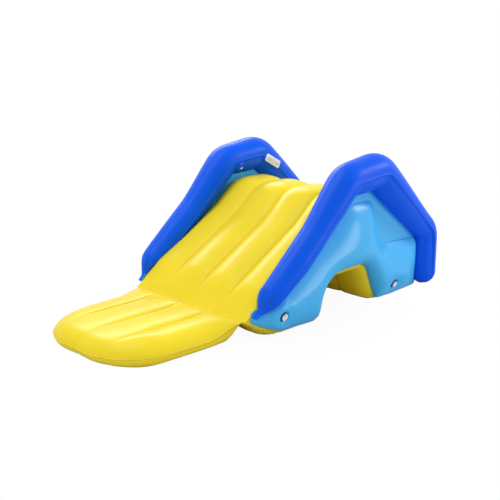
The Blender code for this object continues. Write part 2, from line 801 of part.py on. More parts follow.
def lengthened(corner, inner, growth):
    """An end corner moved on by growth, away from the ring inside it."""
    away = (Vector(corner) - Vector(inner)).normalized()
    return tuple(Vector(corner) + away * growth)


def make_bolsters(parts):
    bolsters = {}
    for side, name in SIDES:
        title = "bolster_" + name
        bolsters[name] = add_object(title, bolster_mesh(title, side, 0.0), parts, ROYAL_BLUE)
    return bolsters


def axis_place(y):
    """Height, direction and radius of the bolster's axis at a place along its top or rear slope."""
    found = bolster_stations()
    for (start, direction, low, _), (end, _, high, _) in zip(found, found[1:]):
        if start.x <= y < end.x:
            share = (y - start.x) / (end.x - start.x)
            return start.y + share * (end.y - start.y), direction, low + share * (high - low)
    return found[0][0].y, found[0][1], found[0][2]


# Handles


def local_frame(origin, normal, up):
    """A frame whose Z is the outward normal and whose Y is up along the surface."""
    out = Vector(normal).normalized()
    sideways = Vector(up).cross(out).normalized()
    along = out.cross(sideways)
    frame = Matrix((sideways, along, out)).transposed().to_4x4()
    frame.translation = origin
    return frame


def rounded_plate(name, length, height, corner, low, high):
    """A plate with round corners in its local X-Y plane."""
    half_length, half_height = length / 2, height / 2
    places = [(-1, 1), (1, 1), (1, -1), (-1, -1)]
    corners = [Corner(a * half_length, b * half_height, corner, 4) for a, b in places]
    outline = rounded(corners)
    rings = [[(point.x, point.y, z) for point in outline] for z in (low, high)]
    return loft(name, rings, smooth_sides=False)


def grip_outline():
    """Side view of the strap: flat feet on the plate and a bow between them."""
    half = GRIP_LENGTH / 2
    low, high = HANDLE_THICKNESS + GAP, HANDLE_THICKNESS + GAP + GRIP_THICKNESS
    rise = high + GRIP_RISE - GRIP_THICKNESS
    bow = half - GRIP_FOOT - GRIP_RISE
    inner = bow - GRIP_THICKNESS / 2
    outer = bow + GRIP_THICKNESS / 2
    bend = GRIP_THICKNESS
    foot = half - GRIP_FOOT
    return [
        Corner(-half, high, 0.0),
        Corner(-foot - GRIP_THICKNESS / 2, high, bend, 2),
        Corner(-outer, rise + GRIP_THICKNESS, 2 * bend, 3),
        Corner(outer, rise + GRIP_THICKNESS, 2 * bend, 3),
        Corner(foot + GRIP_THICKNESS / 2, high, bend, 2),
        Corner(half, high, 0.0),
        Corner(half, low, 0.0),
        Corner(foot, low, 0.0),
        Corner(inner, rise, bend, 3),
        Corner(-inner, rise, bend, 3),
        Corner(-foot, low, 0.0),
        Corner(-half, low, 0.0),
    ]


def make_handles(bolsters, parts, cutters):
    """A welded plate in a flat seat on each bolster's inner face, with a strap bowed over it."""
    height, _, radius = axis_place(HANDLE_Y)
    outline = rounded(grip_outline())
    for side, name in SIDES:
        x = side * (BOLSTER_X - radius + HANDLE_SEAT_DEPTH)
        tilt_up = (0.0, math.sin(HANDLE_TILT), math.cos(HANDLE_TILT))
        place = local_frame((x, HANDLE_Y, height - HANDLE_DROP), (-side, 0.0, 0.0), tilt_up)
        title = "handle_base_" + name
        mesh = rounded_plate(title, HANDLE_LENGTH, HANDLE_HEIGHT, HANDLE_CORNER, GAP, HANDLE_THICKNESS)
        add_object(title, mesh, parts, WHITE, place)
        seat_size = (HANDLE_LENGTH + 2 * GAP, HANDLE_HEIGHT + 2 * GAP, HANDLE_CORNER + GAP)
        seat = rounded_plate("handle_seat_" + name, *seat_size, 0.0, OVERRUN)
        combine(bolsters[name], add_object("handle_seat_" + name, seat, cutters, place=place), "DIFFERENCE")
        title = "handle_grip_" + name
        half = GRIP_WIDTH / 2
        rings = [[(point.x, y, point.y) for point in outline] for y in (-half, half)]
        add_object(title, loft(title, rings, smooth_sides=False), parts, GREY, place)


# Valves


def make_valve(name, size, place, carrier, parts, cutters):
    """A flanged seat in a round recess, a plugging cap, and the tether they share as a hinge."""
    neck_top = size.neck_height
    cap_low = neck_top + GAP
    cap_top = cap_low + size.cap_thickness
    seat_profile = [
        (size.bore_radius, neck_top),
        (size.neck_radius, neck_top),
        (size.neck_radius, size.flange_thickness),
        (size.flange_radius, size.flange_thickness),
        (size.flange_radius, GAP),
        (size.bore_radius, GAP),
    ]
    seat = turned(name + "_seat", seat_profile, size.sides, parts, NAVY, place, ring=True)
    hinge_y = size.neck_radius
    half = size.tether_width / 2
    lug_low = (-half, hinge_y - size.tether_width / 2, size.flange_thickness / 2)
    lug_high = (half, hinge_y + GAP + size.cap_thickness, neck_top)
    lug = box(name + "_lug", lug_low, lug_high, cutters, place)
    combine(seat, lug, "UNION")
    stop_low = (-half, hinge_y + GAP, neck_top - size.flange_thickness)
    stop_high = (half, hinge_y + GAP + size.cap_thickness, cap_top)
    combine(seat, box(name + "_stop", stop_low, stop_high, cutters, place), "UNION")
    plug = size.bore_radius - GAP
    cap_profile = [
        (0.0, cap_top),
        (size.cap_radius, cap_top),
        (size.cap_radius, cap_low),
        (plug, cap_low),
        (plug - size.plug_taper, neck_top - size.plug_depth),
        (0.0, neck_top - size.plug_depth),
    ]
    cap = turned(name + "_cap", cap_profile, size.sides, parts, WHITE, place)
    tether_low = (-half, 0.0, cap_low)
    tether_high = (half, hinge_y, cap_top)
    combine(cap, box(name + "_tether", tether_low, tether_high, cutters, place), "UNION")
    grip_half = size.cap_radius - size.grip_width
    grip_low = (-grip_half, -size.grip_width / 2, cap_low + size.cap_thickness / 2)
    grip_high = (grip_half, size.grip_width / 2, cap_top + size.grip_height)
    combine(cap, box(name + "_grip", grip_low, grip_high, cutters, place), "UNION")
    recess_profile = [(0.0, OVERRUN), (size.flange_radius + GAP, OVERRUN)]
    recess_profile += [(size.flange_radius + GAP, 0.0), (0.0, 0.0)]
    recess = turned(name + "_recess", recess_profile, size.sides, cutters, place=place)
    combine(carrier, recess, "DIFFERENCE")
    hinge = place @ Matrix.Translation((0.0, hinge_y + GAP / 2, cap_top))
    hang_on(cap, add_empty(name + "_hinge", parts, hinge))


def make_panel_valves(panel, parts, cutters):
    """Large valves low on one panel, each square to the swell between the two sides of its patch."""
    edge = rounded(panel_profile())
    places = (("front", FRONT_VALVE_Y, FRONT_VALVE_HEIGHT), ("rear", REAR_VALVE_Y, REAR_VALVE_HEIGHT))
    for name, y, z in places:
        distance = edge_distance(Vector((y, z)), edge)
        outer = panel_swell(distance + VALVE_PATCH)
        lean = (outer - panel_swell(distance - VALVE_PATCH)) / (2 * VALVE_PATCH)
        normal = Vector((1.0, 0.0, -lean)).normalized()
        surface = Vector((PANEL_X + panel_swell(distance), y, z))
        place = local_frame(surface - normal * LARGE_VALVE.seat_depth, normal, (0.0, 0.0, 1.0))
        make_valve(name + "_valve", LARGE_VALVE, place, panel, parts, cutters)


def make_bolster_valves(bolsters, parts, cutters):
    """Small valves on the inner, lower side of each bolster at its top front corner."""
    height, direction, radius = axis_place(BOLSTER_VALVE_Y)
    across = math.sqrt(radius**2 - BOLSTER_VALVE_DROP**2)
    for side, name in SIDES:
        up = Vector((0.0, -direction.y, direction.x))
        normal = Vector((-side * across, 0.0, 0.0)) - up * BOLSTER_VALVE_DROP
        reach = radius - SMALL_VALVE.seat_depth
        axis_point = Vector((side * BOLSTER_X, BOLSTER_VALVE_Y, height))
        origin = axis_point + normal.normalized() * reach
        place = local_frame(origin, normal, up)
        make_valve("bolster_valve_" + name, SMALL_VALVE, place, bolsters[name], parts, cutters)


# Landing pad


def pad_length_at(x):
    """Length of the pad at a place across it: round front corners, scalloped between them."""
    past_straight = abs(x) - (PAD_HALF_WIDTH - PAD_CORNER_RADIUS)
    into_corner = min(max(past_straight, 0.0), PAD_CORNER_RADIUS)
    corner = PAD_CORNER_RADIUS - math.sqrt(PAD_CORNER_RADIUS**2 - into_corner**2)
    straight = 1 - smooth(into_corner / PAD_CORNER_RADIUS)
    scallop = PAD_FRONT_SCALLOP * (1 - channel_crown(x, PAD_HALF_WIDTH)) * straight
    return PAD_LENGTH - corner - scallop


def pad_heights(x, share):
    """Seam, top and bottom heights of the pad at a share of its length from the joint."""
    length = pad_length_at(x)
    from_joint = share * length
    from_front = length - from_joint
    rise = JOINT_HEIGHT - PAD_SEAM_HEIGHT
    seam = PAD_SEAM_HEIGHT + rise * (1 - smooth(from_joint / PAD_SEAM_BLEND))
    rim = round_rise((PAD_HALF_WIDTH - abs(x)) / PAD_RIM) * round_rise(from_front / PAD_RIM)
    toward_joint = min(from_joint / PAD_JOINT_ROUNDING, 1.0)
    body = rim * toward_joint * (2 - toward_joint)
    fade = smooth((from_joint - PAD_CREASE_MARGIN) / PAD_CREASE_FADE)
    fade *= smooth((from_front - PAD_CREASE_MARGIN) / PAD_CREASE_FADE)
    crease = PAD_CREASE_DEPTH * (1 - channel_crown(x, PAD_HALF_WIDTH)) * fade
    top = seam + (PAD_THICKNESS - seam - crease) * body
    bottom = seam - (seam + PRESS - crease) * body
    return seam, top, max(bottom, 0.0)


def make_landing_pad(parts, cutters, hinge):
    """A mattress of four channels: top and bottom skins that meet at a seam round its edge."""
    bm = bmesh.new()
    columns = stations(PAD_HALF_WIDTH)
    last = len(columns) - 1
    tops, bottoms = [], []
    for row in range(PAD_ROWS + 1):
        share = (1 - math.cos(math.pi * row / PAD_ROWS)) / 2
        top_row, bottom_row = [], []
        for column, x in enumerate(columns):
            seam, top, bottom = pad_heights(x, share)
            y = JOINT_Y - GAP - share * (pad_length_at(x) - GAP)
            place = x * (1 - share * PAD_FRONT_NARROWING / PAD_HALF_WIDTH)
            on_edge = column in (0, last) or row == PAD_ROWS
            if row == 0:
                top, bottom = seam + WELD_LIP, seam - WELD_LIP
            upper = bm.verts.new((place, y, seam if on_edge else top))
            top_row.append(upper)
            bottom_row.append(upper if on_edge else bm.verts.new((place, y, bottom)))
        tops.append(top_row)
        bottoms.append(bottom_row)
    for rows in (tops, bottoms):
        for near, far in zip(rows, rows[1:]):
            for column in range(last):
                corners = (near[column], near[column + 1], far[column + 1], far[column])
                bm.faces.new(corners).smooth = True
    for column in range(last):
        upper = tops[0][column : column + 2]
        lower = bottoms[0][column : column + 2]
        corners = list(dict.fromkeys((*upper, *reversed(lower))))
        if len(corners) > 2:
            bm.faces.new(corners)
    pad = add_object("landing_pad", mesh_from(bm, "landing_pad"), parts, YELLOW)
    hang_on(pad, hinge)
    foot = PAD_CREASE_DEPTH - PRESS
    middle_y = JOINT_Y - PAD_LENGTH / 2
    for name, x in zip(BAFFLE_NAMES, crease_places(PAD_HALF_WIDTH)):
        title = "pad_baffle_" + name
        top = foot + 2 * OVERRUN
        pocket = make_baffle(
            title, x, pad_baffle_outline, middle_y, foot, top, parts, cutters, YELLOW
        )
        combine(pad, pocket, "DIFFERENCE")
        hang_on(bpy.data.objects[title], hinge)


def pad_baffle_outline(growth):
    """Outline of a pad baffle, clear of both skins and of the pad's ends."""
    rear = JOINT_Y - PAD_BAFFLE_MARGIN
    front = FRONT_Y + PAD_BAFFLE_MARGIN
    low = PAD_CREASE_DEPTH - PRESS + BAFFLE_SKIN
    high = PAD_THICKNESS - PAD_CREASE_DEPTH - BAFFLE_SKIN
    corners = [
        Corner(front, high, BODY_BAFFLE_EDGE_RADIUS, 2),
        Corner(rear, high, BODY_BAFFLE_EDGE_RADIUS, 2),
        Corner(rear, low, BODY_BAFFLE_EDGE_RADIUS, 2),
        Corner(front, low, BODY_BAFFLE_EDGE_RADIUS, 2),
    ]
    return rounded(inset(corners, -growth))


SIDES = ((-1, "left"), (1, "right"))
BAFFLE_NAMES = ("left", "centre", "right")


def main():
    clear_scene()
    parts = make_collection("Inflatable water slide")
    cutters = make_collection("Cutters")
    fold = Matrix.Translation((0.0, JOINT_Y, FOLD_HEIGHT))
    hinge = add_empty("pad_fold_axis", parts, fold)
    body = make_body_chamber(parts, cutters)
    make_body_baffles(body, parts, cutters)
    make_side_webs(parts, cutters)
    panels = make_side_panels(parts, cutters)
    bolsters = make_bolsters(parts)
    make_handles(bolsters, parts, cutters)
    make_bolster_valves(bolsters, parts, cutters)
    make_panel_valves(panels["right"], parts, cutters)
    make_landing_pad(parts, cutters, hinge)


if __name__ == "__main__":
    main()
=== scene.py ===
"""Inflatable water slide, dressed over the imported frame.

Metres, +Z up, +Y from the landing pad to the climbing step, +X to the side with the large valves.
The yellow band, the side panels, the bolsters and the landing pad are sealed vinyl chambers, so
each is built as the skin that its welds and the air in it give.
"""

import logging
import math
from bisect import bisect_right
from dataclasses import dataclass, field
from enum import Enum
from typing import Callable, NamedTuple, Sequence

import bmesh
import bpy
import numpy as np
from mathutils import Matrix, Vector


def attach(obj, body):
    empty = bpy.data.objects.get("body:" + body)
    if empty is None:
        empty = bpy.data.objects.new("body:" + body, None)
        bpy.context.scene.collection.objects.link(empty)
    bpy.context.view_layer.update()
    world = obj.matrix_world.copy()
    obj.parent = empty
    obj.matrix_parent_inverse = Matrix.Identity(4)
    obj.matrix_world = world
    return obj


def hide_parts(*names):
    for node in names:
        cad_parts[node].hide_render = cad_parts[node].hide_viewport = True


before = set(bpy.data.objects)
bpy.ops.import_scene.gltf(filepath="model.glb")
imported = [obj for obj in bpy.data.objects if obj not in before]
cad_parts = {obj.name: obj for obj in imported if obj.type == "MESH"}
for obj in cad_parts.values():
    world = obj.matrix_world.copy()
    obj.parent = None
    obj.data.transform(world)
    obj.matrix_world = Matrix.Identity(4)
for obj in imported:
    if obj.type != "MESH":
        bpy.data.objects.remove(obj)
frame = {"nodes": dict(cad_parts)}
log = logging.getLogger("slide")


# Sizes shared by the sub-assemblies


@dataclass(frozen=True)
class SlideSizes:
    """Places and sizes of the slide, in metres, as the frame has them."""

    gap: float = 0.0003
    joint_y: float = -0.475
    joint_height: float = 0.114
    weld_lip: float = 0.004
    half_width: float = 0.5035
    bed_knee: tuple[float, float, float] = (0.1787, 0.499, 0.6)
    crest: tuple[float, float, float] = (0.3663, 0.655, 0.16)
    platform_rear: tuple[float, float, float] = (0.5822, 0.655, 0.055)
    riser_foot: tuple[float, float, float] = (0.7073, 0.355, 0.09)
    rear_top: tuple[float, float, float] = (1.1, 0.338, 0.05)
    rear_sole: tuple[float, float, float] = (1.1, 0.018, 0.035)
    rear_foot_front: tuple[float, float, float] = (0.6468, 0.018, 0.035)
    arch_rear: tuple[float, float, float] = (0.53, 0.268, 0.1)
    arch_front: tuple[float, float, float] = (0.128, 0.26, 0.2)
    front_foot_rear: tuple[float, float, float] = (0.065, 0.018, 0.05)
    toe_start: tuple[float, float, float] = (-0.248, 0.018, 0.3)
    panel_toe_radius: float = 0.03
    panel_sole: float = 0.005
    bolster_x: float = 0.5295
    toe_pinch: float = 0.055
    toe_reach: float = 0.16
    channels: int = 4

    @property
    def fold_height(self) -> float:
        """Height of the weld that the pad folds at."""
        return self.joint_height + self.weld_lip


SIZES = SlideSizes()


class Side(Enum):
    """The two sides of the slide, by the sign of their X."""

    LEFT = -1
    RIGHT = 1

    @property
    def title(self) -> str:
        """The side's name in the frame's nodes."""
        return self.name.lower()


# Outlines in the side plane


class Corner(NamedTuple):
    """A corner of an outline in the side plane, with the radius of its arc."""

    y: float
    z: float
    radius: float = 0.0


class Outline:
    """A line in the side plane whose corners are arcs, read by the length along it."""

    def __init__(self, corners: Sequence[Corner], closed: bool, step: float = 0.004) -> None:
        """Lays the line through its corners.

        Args:
            corners: The corners in order.
            closed: Whether the last corner joins the first.
            step: Length of the arcs' chords.
        """
        self.points: list[Vector] = []
        count = len(corners)
        for index, corner in enumerate(corners):
            at = Vector((corner.y, corner.z))
            if corner.radius <= 0.0 or (not closed and index in (0, count - 1)):
                self.points.append(at)
                continue
            before, after = corners[index - 1], corners[(index + 1) % count]
            back = (Vector((before.y, before.z)) - at).normalized()
            ahead = (Vector((after.y, after.z)) - at).normalized()
            half = back.angle(ahead) / 2
            centre = at + (back + ahead).normalized() * (corner.radius / math.sin(half))
            start = at + back * (corner.radius / math.tan(half)) - centre
            end = at + ahead * (corner.radius / math.tan(half)) - centre
            steps = max(round(corner.radius * (math.pi - 2 * half) / step), 2)
            for number in range(steps + 1):
                turned = start.normalized().slerp(end.normalized(), number / steps)
                self.points.append(centre + turned * corner.radius)
        if closed:
            self.points.append(self.points[0].copy())
        self.lengths = [0.0]
        for near, far in zip(self.points, self.points[1:]):
            self.lengths.append(self.lengths[-1] + (far - near).length)

    @property
    def total(self) -> float:
        """Length of the whole line."""
        return self.lengths[-1]

    def at(self, length: float) -> tuple[Vector, Vector]:
        """Finds a place on the line.

        Args:
            length: Length along the line from its start.

        Returns:
            The point and the direction of travel there, smoothed over a few millimetres.
        """
        point = self._point(length)
        reach = 0.003
        ahead = self._point(min(length + reach, self.total))
        behind = self._point(max(length - reach, 0.0))
        return point, (ahead - behind).normalized()

    def length_near(self, y: float, z: float) -> float:
        """Length along the line to its point nearest a place."""
        place = Vector((y, z))
        nearest = min(range(len(self.points)), key=lambda index: (self.points[index] - place).length)
        return self.lengths[nearest]

    def dense(self, step: float) -> np.ndarray:
        """Points along the line at even steps, as rows of Y and Z."""
        count = max(round(self.total / step), 2)
        return np.array([self._point(self.total * number / count) for number in range(count + 1)])

    def _point(self, length: float) -> Vector:
        """The point at a length along the line."""
        index = min(max(bisect_right(self.lengths, length), 1), len(self.points) - 1)
        start, end = self.lengths[index - 1], self.lengths[index]
        share = (length - start) / (end - start) if end > start else 0.0
        return self.points[index - 1].lerp(self.points[index], min(max(share, 0.0), 1.0))


def side_corners(sizes: SlideSizes) -> list[Corner]:
    """Seam line of the body's side, clockwise from the joint's upper lip."""
    upper = [sizes.bed_knee, sizes.crest, sizes.platform_rear, sizes.riser_foot, sizes.rear_top]
    lower = [sizes.rear_sole, sizes.rear_foot_front, sizes.arch_rear, sizes.arch_front]
    lower += [sizes.front_foot_rear, sizes.toe_start]
    first = Corner(sizes.joint_y, sizes.fold_height)
    last = Corner(sizes.joint_y, sizes.joint_height - sizes.weld_lip)
    return [first] + [Corner(*place) for place in upper + lower] + [last]


def panel_corners(sizes: SlideSizes) -> list[Corner]:
    """The side line with its sharp toe rounded and its feet puffed down, for the side panels."""
    toe = Corner(sizes.joint_y, sizes.joint_height, sizes.panel_toe_radius)
    line = [toe] + side_corners(sizes)[1:-1]
    feet = (sizes.rear_sole, sizes.rear_foot_front, sizes.front_foot_rear)
    return [corner._replace(z=sizes.panel_sole) if tuple(corner) in feet else corner for corner in line]


# Curves of an inflated skin


def held(share: float) -> float:
    """A share kept between 0 and 1."""
    return min(max(share, 0.0), 1.0)


def round_rise(share: float) -> float:
    """Height share of a quarter circle, from 0 at its edge to 1 where it levels out."""
    return math.sqrt(1 - (1 - held(share)) ** 2)


def eased(share: float) -> float:
    """A share that starts and ends gently."""
    kept = held(share)
    return kept * kept * (3 - 2 * kept)


def bump(distance: float, reach: float) -> float:
    """1 at a place, falling off smoothly to near 0 past a reach."""
    return math.exp(-((distance / reach) ** 2))


def graded(total: float, first: float, most: float, growth: float = 1.28) -> list[float]:
    """Marks along a length, close together at both ends.

    Args:
        total: The length.
        first: The first and last step.
        most: The largest step.
        growth: How much each step grows.

    Returns:
        The marks, from 0 to the length.
    """
    steps: list[float] = []
    size, reached = first, 0.0
    while reached + size < total / 2:
        steps.append(size)
        reached += size
        size = min(size * growth, most)
    marks = [0.0]
    for step in steps:
        marks.append(marks[-1] + step)
    mirrored = [total - mark for mark in reversed(marks)]
    if mirrored[0] - marks[-1] > most:
        marks.append((mirrored[0] + marks[-1]) / 2)
    return marks + mirrored


def across_channels(half_width: float, channels: int, steps: int) -> list[float]:
    """Places across a chamber, closer together near each crease."""
    width = 2 * half_width / channels
    places = [-half_width]
    for channel in range(channels):
        start = -half_width + channel * width
        places += [start + (1 - math.cos(math.pi * step / steps)) / 2 * width for step in range(1, steps + 1)]
    return places


def crease_distance(x: float, half_width: float, channels: int) -> float:
    """Distance across a chamber to its nearest crease between channels."""
    width = 2 * half_width / channels
    return min(abs(x + half_width - width * number) for number in range(1, channels))


def channel_crown(x: float, half_width: float, channels: int) -> float:
    """1 along the crown of each channel and 0 at the creases between the channels."""
    width = 2 * half_width / channels
    return round_rise(crease_distance(x, half_width, channels) / (width / 2))


def toe_drawn_in(place: Vector) -> Vector:
    """Draws the body's front end in towards the middle, as the joint's weld does."""
    on_body = place.y > SIZES.joint_y - SIZES.gap / 2
    share = 1 - eased((place.y - SIZES.joint_y) / SIZES.toe_reach) if on_body else 0.0
    return Vector((place.x * (1 - share * SIZES.toe_pinch), place.y, place.z))


# Skins


class Spot(NamedTuple):
    """A vertex of a skin: its place, how near a weld it is, its length along it, and its slack."""

    place: Vector
    weld: float = 0.0
    along: float = 0.0
    slack: float = 0.0


class Skin:
    """A mesh that starts as a grid, each of whose vertices is then put in its place."""

    def __init__(self) -> None:
        """Starts an empty mesh with the layers that the vinyl finishes read."""
        self.bm = bmesh.new()
        self.weld = self.bm.verts.layers.float.new("weld")
        self.along = self.bm.verts.layers.float.new("along")
        self.slack = self.bm.verts.layers.float.new("slack")

    def grid(self, columns: int, rows: int, spot: Callable[[int, int], Spot]) -> None:
        """Adds a grid and puts its vertices in place.

        Args:
            columns: Faces across.
            rows: Faces along.
            spot: Gives the vertex at a column and row.
        """
        made = bmesh.ops.create_grid(self.bm, x_segments=columns, y_segments=rows, size=0.5)["verts"]
        for vert in made:
            found = spot(round((vert.co.x + 0.5) * columns), round((vert.co.y + 0.5) * rows))
            vert.co = toe_drawn_in(found.place)
            vert[self.weld], vert[self.along], vert[self.slack] = found.weld, found.along, found.slack

    def close(self, merge: float = 0.00002) -> None:
        """Merges what meets, and fills the ends that are still open.

        Args:
            merge: How near two vertices are that become one.
        """
        bmesh.ops.remove_doubles(self.bm, verts=self.bm.verts, dist=merge)
        bmesh.ops.dissolve_degenerate(self.bm, dist=merge / 4, edges=self.bm.edges)
        rims = [edge for edge in self.bm.edges if edge.is_boundary]
        if rims:
            bmesh.ops.holes_fill(self.bm, edges=rims, sides=0)

    def seat(self, seats: Sequence["Seat"], cuts: int) -> None:
        """Refines the skin round some seats and presses it onto them.

        Args:
            seats: The seats, in order.
            cuts: Cuts of each edge near them.
        """
        edges = [
            edge
            for edge in self.bm.edges
            if any(seat.near((edge.verts[0].co + edge.verts[1].co) / 2, 0.01) for seat in seats)
        ]
        if edges:
            bmesh.ops.subdivide_edges(self.bm, edges=edges, cuts=cuts, use_grid_fill=True)
        for vert in self.bm.verts:
            for seat in seats:
                vert.co = seat.press(vert.co)

    def piece(self, name: str, material: bpy.types.Material) -> bpy.types.Object:
        """Makes the object, with its faces turned outwards.

        Args:
            name: The piece's name.
            material: Its finish.

        Returns:
            The object, at the origin.
        """
        bmesh.ops.recalc_face_normals(self.bm, faces=self.bm.faces)
        for face in self.bm.faces:
            face.smooth = len(face.verts) < 6
        mesh = bpy.data.meshes.new(name)
        self.bm.to_mesh(mesh)
        self.bm.free()
        mesh.materials.append(material)
        item = bpy.data.objects.new(name, mesh)
        bpy.context.scene.collection.objects.link(item)
        return item


@dataclass(frozen=True)
class Seat:
    """A flat place on a skin, where a fitting is welded on.

    Attributes:
        frame: Its frame, whose Z is the outward normal.
        half_length: Half its size along X.
        half_height: Half its size along Y.
        corner: Radius of its corners.
        floor: Height of the skin there, along the normal.
        blend: How far round it the skin takes to reach its own shape.
        reach: How far from its plane the skin is still drawn to it.
    """

    frame: Matrix
    half_length: float
    half_height: float
    corner: float
    floor: float
    blend: float
    reach: float = 0.06

    def press(self, point: Vector) -> Vector:
        """Puts a point of the skin on the seat, or part of the way where it is beside it."""
        local = self.frame.inverted() @ point
        level = 1 - eased((abs(local.z) - self.reach / 2) / (self.reach / 2))
        past_x = max(abs(local.x) - self.half_length + self.corner, 0.0)
        past_y = max(abs(local.y) - self.half_height + self.corner, 0.0)
        beside = math.hypot(past_x, past_y) - self.corner
        local.z += (self.floor - local.z) * (1 - eased(beside / self.blend)) * level
        return self.frame @ local

    def near(self, point: Vector, reach: float) -> bool:
        """Whether a point is near the seat."""
        local = self.frame.inverted() @ point
        beside = max(abs(local.x) - self.half_length, abs(local.y) - self.half_height)
        return beside < self.blend + reach and abs(local.z) < self.reach


def framed(origin: Sequence[float], normal: Sequence[float], up: Sequence[float]) -> Matrix:
    """A frame whose Z is the outward normal and whose Y is up along the surface."""
    out = Vector(normal).normalized()
    sideways = Vector(up).cross(out).normalized()
    made = Matrix((sideways, out.cross(sideways), out)).transposed().to_4x4()
    made.translation = origin
    return made


def settle(item: bpy.types.Object, body: str, slot: str, *nodes: str) -> None:
    """Lets a piece ride on its body and stand for its nodes.

    Args:
        item: The piece.
        body: The body it moves with.
        slot: The record's material slot; not used.
        nodes: The nodes that it stands for.
    """
    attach(item, body)
    if nodes:
        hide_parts(*nodes)
    log.info("%s: %d faces on %s", item.name, len(item.data.polygons), body)


# Finishes


Colour = tuple[float, float, float]


class Shade:
    """A number in a shader; sums and products of it add Math nodes."""

    def __init__(self, bench: "Bench", socket: bpy.types.NodeSocket) -> None:
        """Wraps a socket.

        Args:
            bench: The bench that adds nodes.
            socket: The output that holds the number.
        """
        self.bench = bench
        self.socket = socket

    def _math(self, operation: str, *values: "Shade | float") -> "Shade":
        """Adds a Math node for an operation on values."""
        node = self.bench.node("ShaderNodeMath", {"operation": operation}, dict(enumerate(values)))
        return Shade(self.bench, node.outputs[0])

    def __add__(self, other: "Shade | float") -> "Shade":
        """Sum."""
        return self._math("ADD", self, other)

    def __sub__(self, other: "Shade | float") -> "Shade":
        """Difference."""
        return self._math("SUBTRACT", self, other)

    def __mul__(self, other: "Shade | float") -> "Shade":
        """Product."""
        return self._math("MULTIPLY", self, other)

    def sine(self) -> "Shade":
        """Sine of the number."""
        return self._math("SINE", self)

    def kept(self) -> "Shade":
        """The number kept between 0 and 1."""
        return self._math("MINIMUM", self._math("MAXIMUM", self, 0.0), 1.0)


class Bench:
    """Adds nodes to one material's or world's tree."""

    def __init__(self, tree: bpy.types.NodeTree) -> None:
        """Takes a tree and clears it.

        Args:
            tree: The node tree.
        """
        self.tree = tree
        tree.nodes.clear()

    def node(
        self, kind: str, settings: dict[str, object] | None = None, inputs: dict | None = None
    ) -> bpy.types.Node:
        """Adds a node.

        Args:
            kind: Its type.
            settings: Its settings, set before its sockets.
            inputs: Values or links of its sockets, by name or number.

        Returns:
            The node.
        """
        node = self.tree.nodes.new(kind)
        for name, value in (settings or {}).items():
            setattr(node, name, value)
        for name, value in (inputs or {}).items():
            if isinstance(value, Shade):
                value = value.socket
            if isinstance(value, bpy.types.NodeSocket):
                self.tree.links.new(value, node.inputs[name])
            else:
                node.inputs[name].default_value = value
        return node

    def number(self, kind: str, settings: dict[str, object], inputs: dict, output: int | str = 0) -> Shade:
        """Adds a node and gives one of its outputs as a number."""
        return Shade(self, self.node(kind, settings, inputs).outputs[output])

    def mixed(self, share: Shade, low: object, high: object) -> bpy.types.NodeSocket:
        """Adds a Mix of two colours and gives its colour.

        Args:
            share: How much of the second there is.
            low: The first colour, as numbers or a socket.
            high: The second colour.

        Returns:
            The mixed colour's socket.
        """
        node = self.tree.nodes.new("ShaderNodeMix")
        node.data_type = "RGBA"
        self.tree.links.new(share.socket, node.inputs[0])
        for place, value in ((6, low), (7, high)):
            if isinstance(value, bpy.types.NodeSocket):
                self.tree.links.new(value, node.inputs[place])
            else:
                node.inputs[place].default_value = (*value, 1.0)
        return node.outputs[2]


def shaded(colour: Colour, share: float) -> Colour:
    """A colour scaled in strength."""
    return (colour[0] * share, colour[1] * share, colour[2] * share)


